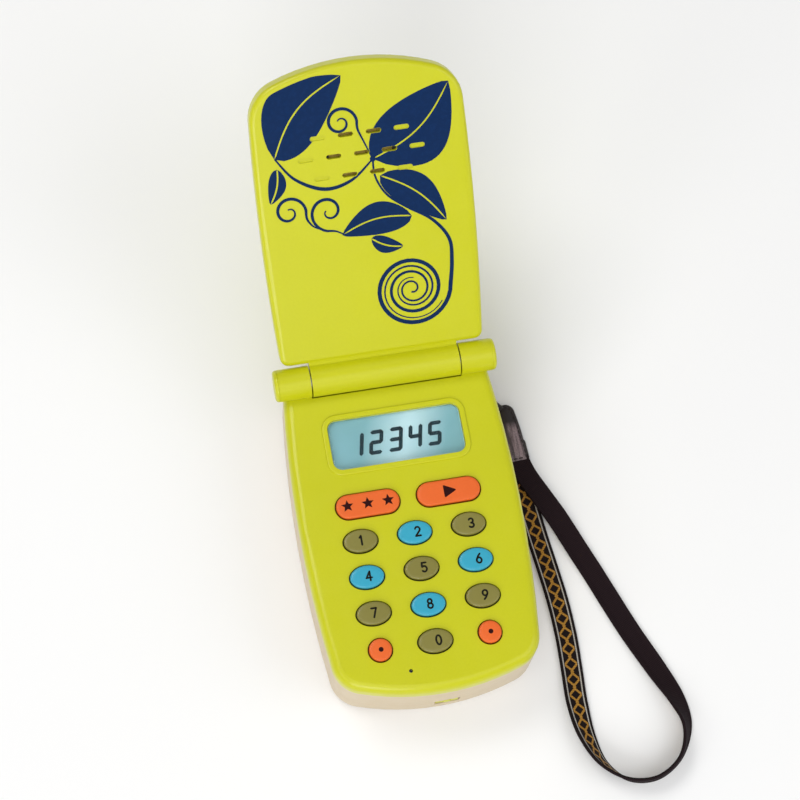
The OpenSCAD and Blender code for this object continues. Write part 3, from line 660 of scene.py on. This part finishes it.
def make_cord():
    """Two twisted strands, looped through the lug."""
    path = spline(CORD_ROUTE, 10)
    size = 16
    strands, twist = 2, 3.0     # twist in radians per millimetre
    points = []
    gone = 0.0
    for i, (place, a, b) in enumerate(frames_along(path, CORD_LEVEL)):
        if i:
            gone += np.linalg.norm(path[i] - path[i - 1])
        for k in range(size):
            turn = 2 * math.pi * k / size
            lobe = abs(math.cos(strands * turn / 2 - twist * gone))
            r = CORD_D / 2 * (0.78 + 0.22 * lobe)
            points.append((place + (a * math.cos(turn) + b * math.sin(turn)) * r) * MM)
    cord = mesh_object("short_cord", points, tube_faces(len(path), size))
    paint(cord, CORD)
    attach(cord, "handset")
    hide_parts("strap_cord")
    return cord, path * MM


def tab_outline(inset=0.0):
    """The tab from above, in millimetres: a folded end with round corners, then a taper to a round top."""
    top, end = np.array(TAB_TOP), np.array(TAB_END)
    up = unit(top - end)
    side = np.array((up[1], -up[0]))
    corner = 1.1
    low, fold, step = -0.8, 5.2, 0.35

    def at(x, y):
        return end + side * x + up * y

    centre, left_over = max(corner, inset + 0.05), max(corner - inset, 0.05)
    right = [at(TAB_HALF_W - centre, low + centre) + left_over * (side * math.cos(a) + up * math.sin(a))
             for a in (QUARTER * (k / 5 - 1) for k in range(6))]
    right += [at(TAB_HALF_W - inset, fold * 0.5), at(TAB_HALF_W - inset, fold - 0.5)]
    right += [at(TAB_HALF_W - inset - step * 0.3, fold), at(TAB_HALF_W - inset - step, fold + 0.35)]
    r = TAB_TOP_R - inset
    far = float(np.linalg.norm(top - end))
    for k in range(1, 6):
        s = k / 6
        swell = TAB_HALF_W - step + (TAB_TOP_R - TAB_HALF_W + step) * s ** 2
        right.append(at(swell - inset, fold + 0.35 + (far - fold - 0.35) * s))
    right += [top + r * (side * math.cos(a) + up * math.sin(a)) for a in (QUARTER * k / 8 for k in range(9))]
    left = [p - 2 * side * float(np.dot(p - end, side)) for p in reversed(right[:-1])]
    return [tuple(p) for p in right + left]


def make_tab():
    """Leather tab: a crowned top and a flat bottom, with a stitched line near its edge."""
    levels = [(0.0, 0.45), (0.12, 0.12), (0.35, 0.0), (1.6, 0.0), (1.95, 0.1), (2.2, 0.35), (2.32, 0.65),
              (2.26, 0.9), (2.42, 1.05), (2.58, 1.4), (2.7, 1.9), (TAB_T, 2.45)]
    rings = [[(x, y, z) for x, y in tab_outline(inset)] for z, inset in levels]
    size = len(rings[0])
    points = [Vector(p) * MM for ring in rings for p in ring]
    tab = mesh_object("leather_tab", points, tube_faces(len(rings), size))
    faced_outward(tab, split_big=True)
    paint(tab, LEATHER)
    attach(tab, "handset")
    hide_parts("strap_tab")

    thread_z, thread_r, seam_in = 2.4, 0.17, 0.9
    seam = tab_outline(seam_in)
    line = np.array(seam + seam[:1])
    gone = np.concatenate([[0], np.cumsum(np.linalg.norm(np.diff(line, axis=0), axis=1))])
    pitch, stitch_l = 1.5, 1.0
    stitches = []
    for k in range(int(gone[-1] / pitch)):
        ends = []
        for at in (k * pitch, k * pitch + stitch_l):
            ends.append([np.interp(at, gone, line[:, axis]) for axis in (0, 1)])
        stitches.append(thread_bar(ends, thread_z, thread_r))
    sewn = joined("tab_stitches", stitches)
    paint(sewn, STITCH)
    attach(sewn, "handset")
    return tab, sewn


def thread_bar(ends, z, r):
    """One stitch: a short bar that arches slightly out of the leather."""
    a, b = np.array(ends[0]), np.array(ends[1])
    low, arch = z - r, 1.6 * r
    path = np.array([[*(a + (b - a) * s), low + arch * math.sin(math.pi * s)] for s in np.linspace(0, 1, 7)])
    points = []
    for place, side, up in frames_along(path, (0, 0, 1)):
        for k in range(6):
            turn = math.pi * k / 3
            points.append((place + (side * math.cos(turn) + up * math.sin(turn)) * r) * MM)
    return mesh_object("stitch", points, tube_faces(len(path), 6))


ribbon, ribbon_line = make_ribbon()
cord, cord_line = make_cord()
tab, tab_sewing = make_tab()

# ---------- Floor and lights ----------


FLOOR_Z = -0.15 * MM    # a hair under the lowest piece


def make_floor():
    bpy.ops.mesh.primitive_plane_add(size=8, location=(0, 0, FLOOR_Z))
    floor = bpy.context.object
    floor.name = "floor"
    paint(floor, floor_paper("floor_paper"))


def area_light(name, place, target, size, watts, tint):
    data = bpy.data.lights.new(name, "AREA")
    data.shape = "RECTANGLE"
    data.size, data.size_y = size
    data.energy = watts
    data.color = tint
    lamp = bpy.data.objects.new(name, data)
    bpy.context.scene.collection.objects.link(lamp)
    lamp.location = place
    lamp.rotation_euler = (Vector(target) - Vector(place)).to_track_quat("-Z", "Y").to_euler()


# Each soft lamp: its place, size and power, in metres and watts, and its tint
LAMPS = {
    "key_light": ((-0.5, 0.55, 1.1), (0.7, 0.5), 4.7, (1, 0.99, 0.97)),
    "fill_light": ((0.9, -0.5, 0.9), (1.0, 1.0), 4.5, (0.98, 0.99, 1)),
    "front_light": ((-0.5, -1.2, 0.8), (0.9, 0.7), 8.4, (1, 1, 1)),
    "side_light": ((-1.0, -0.3, 0.7), (0.5, 0.3), 1.2, (1, 1, 1)),
    "top_light": ((-0.1, -0.6, 1.5), (1.2, 1.0), 3.6, (1, 1, 1)),
}
LAMP_TARGET = (0, 0.03, 0.03)
WORLD_LIGHT = 0.34      # how bright the studio's walls light the phone
WORLD_SEEN = 0.85       # and how bright they look beyond the floor


def make_lights():
    for name, (place, size, watts, tint) in LAMPS.items():
        area_light(name, place, LAMP_TARGET, size, watts, tint)
    world = bpy.data.worlds.new("studio")
    world.use_nodes = True
    glow = world.node_tree.nodes["Background"]
    glow.inputs["Color"].default_value = (1, 1, 1, 1)
    glow.inputs["Strength"].default_value = WORLD_LIGHT
    backdrop = world.node_tree.nodes.new("ShaderNodeBackground")
    backdrop.inputs["Color"].default_value = (1, 1, 1, 1)
    backdrop.inputs["Strength"].default_value = WORLD_SEEN
    seen = world.node_tree.nodes.new("ShaderNodeLightPath")
    either = world.node_tree.nodes.new("ShaderNodeMixShader")
    link = world.node_tree.links.new
    link(seen.outputs["Is Camera Ray"], either.inputs[0])
    link(glow.outputs[0], either.inputs[1])
    link(backdrop.outputs[0], either.inputs[2])
    link(either.outputs[0], world.node_tree.nodes["World Output"].inputs["Surface"])
    bpy.context.scene.world = world
    bpy.context.scene.view_settings.view_transform = "Standard"


make_floor()
make_lights()

# ---------- CAD nodes ----------


def soft_edges():
    """Geometry nodes that shade a mesh smooth, apart from its sharp edges."""
    tree = bpy.data.node_groups.new("soft_edges", "GeometryNodeTree")
    tree.interface.new_socket("Geometry", in_out="INPUT", socket_type="NodeSocketGeometry")
    tree.interface.new_socket("Geometry", in_out="OUTPUT", socket_type="NodeSocketGeometry")
    start = tree.nodes.new("NodeGroupInput")
    end = tree.nodes.new("NodeGroupOutput")
    smooth = tree.nodes.new("GeometryNodeSetShadeSmooth")
    sharp = tree.nodes.new("GeometryNodeSetShadeSmooth")
    sharp.domain = "EDGE"
    sharp.inputs["Shade Smooth"].default_value = False
    angle = tree.nodes.new("GeometryNodeInputMeshEdgeAngle")
    over = tree.nodes.new("FunctionNodeCompare")
    over.data_type = "FLOAT"
    over.operation = "GREATER_THAN"
    over.inputs[1].default_value = math.radians(48)
    tree.links.new(start.outputs[0], smooth.inputs["Geometry"])
    tree.links.new(smooth.outputs[0], sharp.inputs["Geometry"])
    tree.links.new(angle.outputs["Unsigned Angle"], over.inputs[0])
    tree.links.new(over.outputs[0], sharp.inputs["Selection"])
    tree.links.new(sharp.outputs[0], end.inputs[0])
    return tree


SOFT_EDGES = soft_edges()
# Width of the eased edges of each CAD node that has them, in millimetres
BEVELLED = {
    "front_housing": 0.14, "mid_frame": 0.12, "rear_cover": 0.12, "battery_door": 0.15, "end_clip": 0.2,
    "lid_inner_shell": 0.14, "lid_outer_shell": 0.12, "hinge_caps": 0.1, "display_module": 0.1,
}


def dress(node):
    """Gives a CAD node its material and, without touching its mesh, soft shading and eased edges."""
    thing = frame["nodes"][node]
    paint(thing, CAD_LOOKS[node])
    own = thing.data.attributes.get("custom_normal")
    if own is not None:
        thing.data.attributes.remove(own)
    weld = thing.modifiers.new("weld", "WELD")
    weld.merge_threshold = 0.000002
    if node in BEVELLED:
        flat = thing.modifiers.new("flat", "DECIMATE")
        flat.decimate_type = "DISSOLVE"
        flat.angle_limit = math.radians(0.6)
        ease = thing.modifiers.new("ease", "BEVEL")
        ease.width = BEVELLED[node] * MM
        ease.segments = 2
        ease.limit_method = "ANGLE"
        ease.angle_limit = math.radians(50)
        ease.use_clamp_overlap = True
    shade = thing.modifiers.new("soft", "NODES")
    shade.node_group = SOFT_EDGES
    level = thing.modifiers.new("level", "WEIGHTED_NORMAL")
    level.keep_sharp = True
    level.weight = 60


for cad_node in CAD_LOOKS:
    dress(cad_node)

# ---------- Display ----------


def make_lens():
    """Clear window with eased edges, a hair above the display cell."""
    low = DISPLAY_TOP + 0.1 * MM
    centre = (LENS_LOW + LENS_HIGH) / 2
    w = (LENS_HIGH.x - LENS_LOW.x) / 2 - 0.05 * MM
    d = (LENS_HIGH.y - LENS_LOW.y) / 2 - 0.05 * MM
    corner = 2.4 * MM
    per_corner = 6
    rings = []
    for z, inset in ((low, 0.2), (low + 0.15 * MM, 0.0), (LENS_HIGH.z - 0.25 * MM, 0.0),
                     (LENS_HIGH.z - 0.07 * MM, 0.08), (LENS_HIGH.z, 0.3)):
        ring = []
        for q, (sx, sy) in enumerate(((1, 1), (-1, 1), (-1, -1), (1, -1))):
            for k in range(per_corner + 1):
                a = QUARTER * (q + k / per_corner)
                r = corner - inset * MM
                ring.append((centre.x + sx * (w - corner) + r * math.cos(a),
                             centre.y + sy * (d - corner) + r * math.sin(a), z))
        rings.append(ring)
    lens = mesh_object("clear_window", [p for r in rings for p in r], tube_faces(len(rings), len(rings[0])))
    faced_outward(lens)
    for face in lens.data.polygons:
        face.use_smooth = len(face.vertices) == 4
    paint(lens, LENS)
    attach(lens, "handset")
    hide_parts("display_lens")


# Segments of a digit, as (centre across, centre up, lies level) in half widths and half heights
SEGMENTS = {
    "top": (0, 1, True), "middle": (0, 0, True), "bottom": (0, -1, True), "upper_left": (-1, 0.5, False),
    "upper_right": (1, 0.5, False), "lower_left": (-1, -0.5, False), "lower_right": (1, -0.5, False),
}
DIGIT_SEGMENTS = {
    "1": ("upper_right", "lower_right"),
    "2": ("top", "upper_right", "middle", "lower_left", "bottom"),
    "3": ("top", "upper_right", "middle", "lower_right", "bottom"),
    "4": ("upper_left", "middle", "upper_right", "lower_right"),
    "5": ("top", "upper_left", "middle", "lower_right", "bottom"),
}


def make_display_digits():
    """Five slanted seven-segment digits on the display cell."""
    digit_w, digit_h, bar, pitch, slant = 3.9, 7.0, 1.1, 5.5, 0.2
    shift_x, shift_y = -0.2, -0.45
    centre = middle("display_module") / MM
    low, high = DISPLAY_TOP, DISPLAY_TOP + 0.04 * MM
    for k, digit in enumerate("12345"):
        bars = []
        for segment in DIGIT_SEGMENTS[digit]:
            sx, sy, level = SEGMENTS[segment]
            half_w, half_h = (digit_w - bar) / 2, (digit_h - bar) / 2
            x, y = sx * half_w, sy * half_h
            tip = bar / 2
            reach = (half_w if level else half_h / 2) + tip * 0.72
            if level:
                shape = [(-reach, 0), (tip - reach, tip), (reach - tip, tip), (reach, 0),
                         (reach - tip, -tip), (tip - reach, -tip)]
            else:
                shape = [(0, -reach), (tip, tip - reach), (tip, reach - tip), (0, reach),
                         (-tip, reach - tip), (-tip, tip - reach)]
            outline = []
            for px, py in shape:
                up = y + py
                left = centre.x + shift_x + (k - 2) * pitch
                outline.append((left + x + px + slant * up, centre.y + shift_y + up))
            bars.append(slab("bar", outline, low, high))
        shown = joined(f"display_digit_{k + 1}", bars)
        paint(shown, LCD_INK)
        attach(shown, "handset")


make_lens()
make_display_digits()

# ---------- Marks on the keys ----------

# Strokes of each digit in a box one unit wide and DIGIT_BOX_H high, round its middle
DIGIT_BOX_H = 1.6
DIGIT_STROKES = {
    "0": [arc(0, 0, 0.46, 0.8, 90, 450, 28)],
    "1": [[(-0.22, 0.5), (0.08, 0.8)], [(0.08, 0.8), (0.08, -0.8)]],
    "2": [arc(0, 0.36, 0.44, 0.44, 160, -40, 12) + [(-0.46, -0.8)], [(-0.46, -0.8), (0.5, -0.8)]],
    "3": [arc(-0.02, 0.4, 0.4, 0.4, 150, -90, 12), arc(-0.04, -0.4, 0.46, 0.4, 90, -150, 14)],
    "4": [[(0.22, -0.8), (0.22, 0.8)], [(0.22, 0.8), (-0.5, -0.3)], [(-0.5, -0.3), (0.52, -0.3)]],
    "5": [[(0.42, 0.8), (-0.34, 0.8)], [(-0.34, 0.8), (-0.4, 0.1)],
          arc(-0.02, -0.3, 0.48, 0.5, 130, -140, 15)],
    "6": [[(0.3, 0.8), (-0.1, 0.42)] + arc(0, -0.32, 0.46, 0.48, 160, 520, 24)],
    "7": [[(-0.46, 0.8), (0.46, 0.8)], [(0.46, 0.8), (-0.14, -0.8)]],
    "8": [arc(0, 0.42, 0.38, 0.38, -90, 270, 22), arc(0, -0.38, 0.46, 0.42, 90, 450, 22)],
    "9": [arc(0, 0.32, 0.46, 0.48, -20, 340, 24) + [(0.1, -0.42), (-0.3, -0.8)]],
}
PRINT_T = 0.05 * MM     # how far a digit's ink reaches above and below its key's top
STAR_WAIST = 0.45       # a star's inner radius as a share of its outer one


def tube_stroke(line, width, top):
    """A stroke of thick ink: a flat-topped ridge with round ends."""
    path = np.array([[x, y, 0] for x, y in line])
    points = []
    size = 10
    placed = frames_along(path, (0, 0, 1))
    spots = [placed[0]] + placed + [placed[-1]]
    past_end, end_width = 0.42 * width, 0.35
    for i, (place, a, _) in enumerate(spots):
        grow = end_width if i in (0, len(spots) - 1) else 1.0
        if i == 0:
            place = place - unit(path[1] - path[0]) * past_end
        if i == len(spots) - 1:
            place = place + unit(path[-1] - path[-2]) * past_end
        for k in range(size):
            turn = 2 * math.pi * k / size
            flat = place + a * math.cos(turn) * width / 2 * grow
            points.append((flat[0] * MM, flat[1] * MM, top - PRINT_T + PRINT_T * 2 * math.sin(turn)))
    return mesh_object("stroke", points, tube_faces(len(spots), size))


# How far each digit stands to the right of its key's middle, in millimetres
DIGIT_SHIFT = {
    "0": 0.85, "1": 0.1, "2": 0.75, "3": 0.65, "4": 0.45, "5": 0.65, "6": 0.8, "7": 0.1, "8": 0.4, "9": 0.6,
}


def make_key_digits():
    height, stroke, narrow = 3.15, 0.64, 0.92
    unit_size = (height - stroke) / DIGIT_BOX_H
    for digit, strokes in DIGIT_STROKES.items():
        key = f"key_{digit}"
        centre, top = middle(key) / MM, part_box(key)[1].z
        parts = []
        for line in strokes:
            fitted = [(centre.x + DIGIT_SHIFT[digit] + x * unit_size * narrow, centre.y + y * unit_size)
                      for x, y in line]
            parts.append(tube_stroke(fitted, stroke, top))
        mark = joined(f"digit_{digit}", parts)
        paint(mark, INK_DARK)
        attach(mark, key)


def star(cx, cy, r):
    """Outline of a five-pointed star with one point up."""
    outline = []
    for k in range(10):
        turn = QUARTER + math.pi * k / 5
        reach = r if k % 2 == 0 else r * STAR_WAIST
        outline.append((cx + reach * math.cos(turn), cy + reach * math.sin(turn)))
    return outline


def key_top(key):
    """A key's middle in millimetres, and the heights between which its mark lies."""
    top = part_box(key)[1].z
    return middle(key) / MM, top - PRINT_T, top + PRINT_T / 2


def make_other_marks():
    """Stars, play mark and dots."""
    star_pitch, star_r, star_up = 5.65, 1.75, 0.1
    centre, low, high = key_top("pill_key_stars")
    stars = [slab("star", star(centre.x + s * star_pitch, centre.y + star_up, star_r), low, high)
             for s in (-1, 0, 1)]
    mark = joined("stars", stars)
    paint(mark, INK_MAROON)
    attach(mark, "pill_key_stars")

    centre, low, high = key_top("pill_key_play")
    corner_r, shrink = 0.25, 0.86
    outline = []
    for x, y in ((-1.3, -1.7), (2.0, 0.0), (-1.3, 1.7)):
        turn = math.degrees(math.atan2(y, x - 0.1))
        at = (centre.x + x * shrink, centre.y + y * shrink)
        outline += arc(*at, corner_r, corner_r, turn - 60, turn + 60, 6)
    play = slab("play_mark", outline, low, high)
    paint(play, INK_MAROON)
    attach(play, "pill_key_play")

    dot_r, dot_shift = 0.66, 0.15
    for key in ("round_key_left", "round_key_right"):
        centre, low, high = key_top(key)
        dot = slab(key + "_dot", arc(centre.x + dot_shift, centre.y, dot_r, dot_r, 0, 345, 23), low, high)
        paint(dot, INK_MAROON)
        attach(dot, key)


make_key_digits()
make_other_marks()

# ---------- Print on the lid ----------

# The speaker slots, as in part.scad: each row's place and count, then the slots' pitch, length and width
SLOT_ROWS = ((69, 4), (63.4, 5), (57.8, 4))
SLOT_PITCH, SLOT_L, SLOT_D = 7.55, 4.1, 1.25
# The lid's outline at its tip in millimetres: the middle and radius of its corner and of its end arc
LID_CORNER, LID_CORNER_R = (17.89, 74.36), 11
LID_ARC_V, LID_ARC_R = 26.6, 62
LID_EDGE = 1.75         # how far in from the outline its face is flat, with a margin
PRINT_FORK = (2.8, 61.3)    # where the stems meet
SPIRAL = (9.9, 23.0)        # the middle of the large spiral
INK_UNDER = 0.03 * MM       # how far the print reaches into the lid
INK_OVER = 0.035 * MM       # and how far it stands out
INK_STEP = 0.003 * MM       # how much more each next piece stands out, so that no two tops lie level


def slot_cutter():
    """Slot-shaped plates that are taken out of the print, slightly larger than the slots."""
    cuts = []
    margin, deep = 0.04, 0.3 * MM
    for v, count in SLOT_ROWS:
        for k in range(count):
            x = (k - (count - 1) / 2) * SLOT_PITCH
            half, r = (SLOT_L - SLOT_D) / 2, SLOT_D / 2 + margin
            outline = arc(x + half, v, r, r, -90, 90, 8) + arc(x - half, v, r, r, 90, 270, 8)
            cuts.append(slab("cut", outline, LID_FACE - deep, LID_FACE + deep, LID_PLACE))
    return joined("slot_cutter", cuts)


def leaf_half(start, end, bend, width, side, gap=0.45):
    """Half of a leaf beside its midrib, from its stalk to its tip. Bend curves the midrib sideways."""
    start, end = np.array(start, float), np.array(end, float)
    ahead = end - start
    across = np.array((-ahead[1], ahead[0])) / np.linalg.norm(ahead)
    steps = 22
    rib, rim = [], []
    for k in range(steps + 1):
        s = k / steps
        middle_line = start + ahead * s + across * bend * math.sin(math.pi * s)
        swell = math.sin(math.pi * s ** 0.8) ** 0.85
        rib.append(middle_line + across * side * gap / 2 * min(1, swell * 3))
        rim.append(middle_line + across * side * (gap / 2 + width / 2 * swell))
    return [on_flat_lid(p) for p in rib + rim[::-1][1:-1]]


def on_flat_lid(spot):
    """Moves a place that lies over the lid's rounded edge back onto its flat face."""
    x, v = spot
    if v <= LID_CORNER[1]:
        return (x, v)
    if abs(x) * (LID_CORNER[1] - LID_ARC_V) > LID_CORNER[0] * (v - LID_ARC_V):
        centre, reach = np.array((math.copysign(LID_CORNER[0], x), LID_CORNER[1])), LID_CORNER_R - LID_EDGE
    else:
        centre, reach = np.array((0, LID_ARC_V)), LID_ARC_R - LID_EDGE
    out = np.array((x, v)) - centre
    return tuple(centre + out * min(1, reach / np.linalg.norm(out)))


def spiral_line(cx, cy, outer, inner, start, turns, steps_per_turn=34):
    """Flat spiral from its outer end inwards. Positive turns run anticlockwise."""
    steps = int(abs(turns) * steps_per_turn)
    line = []
    for k in range(steps + 1):
        s = k / steps
        r = inner + (outer - inner) * (1 - s) ** 1.15
        a = math.radians(start) + 2 * math.pi * turns * s
        line.append((cx + r * math.cos(a), cy + r * math.sin(a)))
    return line


def swelling(count, thin, thick):
    """Widths that grow from thin to thick and back."""
    return [thin + (thick - thin) * math.sin(math.pi * k / (count - 1)) ** 1.5 for k in range(count)]


def smooth_line(points, steps=10):
    return [tuple(p) for p in spline(points, steps)]


def curl(tail, centre, outer, start, turns, thin=0.35, thick=0.85):
    """A stem that runs smoothly from its tail into a spiral."""
    line = spiral_line(*centre, outer, 0.8, start, turns)
    a = math.radians(start)
    ahead = np.array((-math.sin(a), math.cos(a))) * math.copysign(1, turns)
    stem = smooth_line([*tail, tuple(np.array(line[0]) - ahead * 2.4), line[0]], 8)
    line = stem[:-1] + line
    return line, swelling(len(line), thin, thick)


def lid_print_shapes():
    """Leaves, stems and curls of the decoration, on the flat lid in millimetres."""
    shapes = {}
    for name, start, end, bend, width in (
            ("leaf_left", (-23.4, 64.8), (-3.4, 85.2), 3.5, 16.4),
            ("leaf_left_small", (-23.0, 62.0), (-25.8, 52.6), 0.8, 4.4),
            ("leaf_right", PRINT_FORK, (25.0, 79.8), -3.2, 18.5),
            ("leaf_middle", (4.3, 56.4), (21.2, 41.4), 1.9, 9.4),
            ("leaf_low", (11.8, 43.9), (-7.6, 41.2), -1.9, 8.8),
            ("leaf_low_small", (0.2, 39.0), (8.6, 35.6), -0.8, 4.2)):
        for side, word in ((1, "a"), (-1, "b")):
            shapes[f"{name}_{word}"] = leaf_half(start, end, bend, width, side)
    big = spiral_line(*SPIRAL, 10.8, 0.9, 0, -3.3)
    stem = smooth_line([PRINT_FORK, (3.0, 56.2), (5.6, 50.9), (10.6, 46.7), (17.2, 42.1), (21.4, 36.0),
                        (21.6, 29.3), big[0]])
    line = stem[:-1] + big
    widths = [0.5 + 0.65 * math.sin(math.pi * min(1, k / len(line) * 1.15)) ** 2 for k in range(len(line))]
    shapes["stem_and_spiral"] = (line, widths)
    echo = spiral_line(*SPIRAL, 9.3, 3.2, -30, -1.7)
    shapes["spiral_echo"] = (echo, swelling(len(echo), 0.25, 0.55))
    vine = smooth_line([PRINT_FORK, (-3.5, 56.2), (-11.0, 54.8), (-18.6, 58.6), (-23.3, 64.9)])
    shapes["vine_left"] = (vine, swelling(len(vine), 0.45, 1.0))
    shapes["curl_low"] = curl([(-7.0, 41.3)], (-10.6, 48.3), 5.4, -100, -1.3)
    shapes["curl_left"] = curl([(-13.6, 43.9), (-15.3, 45.0)], (-21.2, 49.6), 4.6, 0, 1.3)
    shapes["curl_top"] = curl([PRINT_FORK, (0.9, 66.4)], (-4.9, 72.4), 4.5, 0, 1.4)
    shapes["bud"] = arc(*PRINT_FORK, 0.8, 0.8, 0, 345, 23)
    return shapes


def make_lid_print():
    """Cuts the slots out of each printed shape and lays it on the lid."""
    cutter = slot_cutter()
    low = LID_FACE - INK_UNDER
    for k, (name, shape) in enumerate(lid_print_shapes().items()):
        high = LID_FACE + INK_OVER + INK_STEP * k
        if isinstance(shape, tuple):
            piece = strip(shape, low, high)
        else:
            piece = slab(name, shape, low, high, LID_PLACE)
        piece.name = "print_" + name
        trim = piece.modifiers.new("slots", "BOOLEAN")
        trim.operation = "DIFFERENCE"
        trim.solver = "EXACT"
        trim.object = cutter
        bpy.context.view_layer.update()
        whole = piece.evaluated_get(bpy.context.evaluated_depsgraph_get())
        cut = bpy.data.meshes.new_from_object(whole)
        piece.modifiers.clear()
        piece.data = cut
        paint(piece, INK_NAVY)
        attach(piece, "lid")
    bpy.data.objects.remove(cutter)


def strip(shape, low, high):
    """A printed line on the lid: a thin ribbon of quads with its width at each point."""
    line, widths = shape
    line = np.array(line, float)
    points = []
    for i, p in enumerate(line):
        ahead = unit(line[min(i + 1, len(line) - 1)] - line[max(i - 1, 0)])
        side = np.array((-ahead[1], ahead[0])) * widths[i] / 2
        for at, z in ((p + side, low), (p - side, low), (p - side, high), (p + side, high)):
            points.append(LID_PLACE @ Vector((at[0] * MM, at[1] * MM, z)))
    return faced_outward(mesh_object("strip", points, tube_faces(len(line), 4), smooth=False))


make_lid_print()
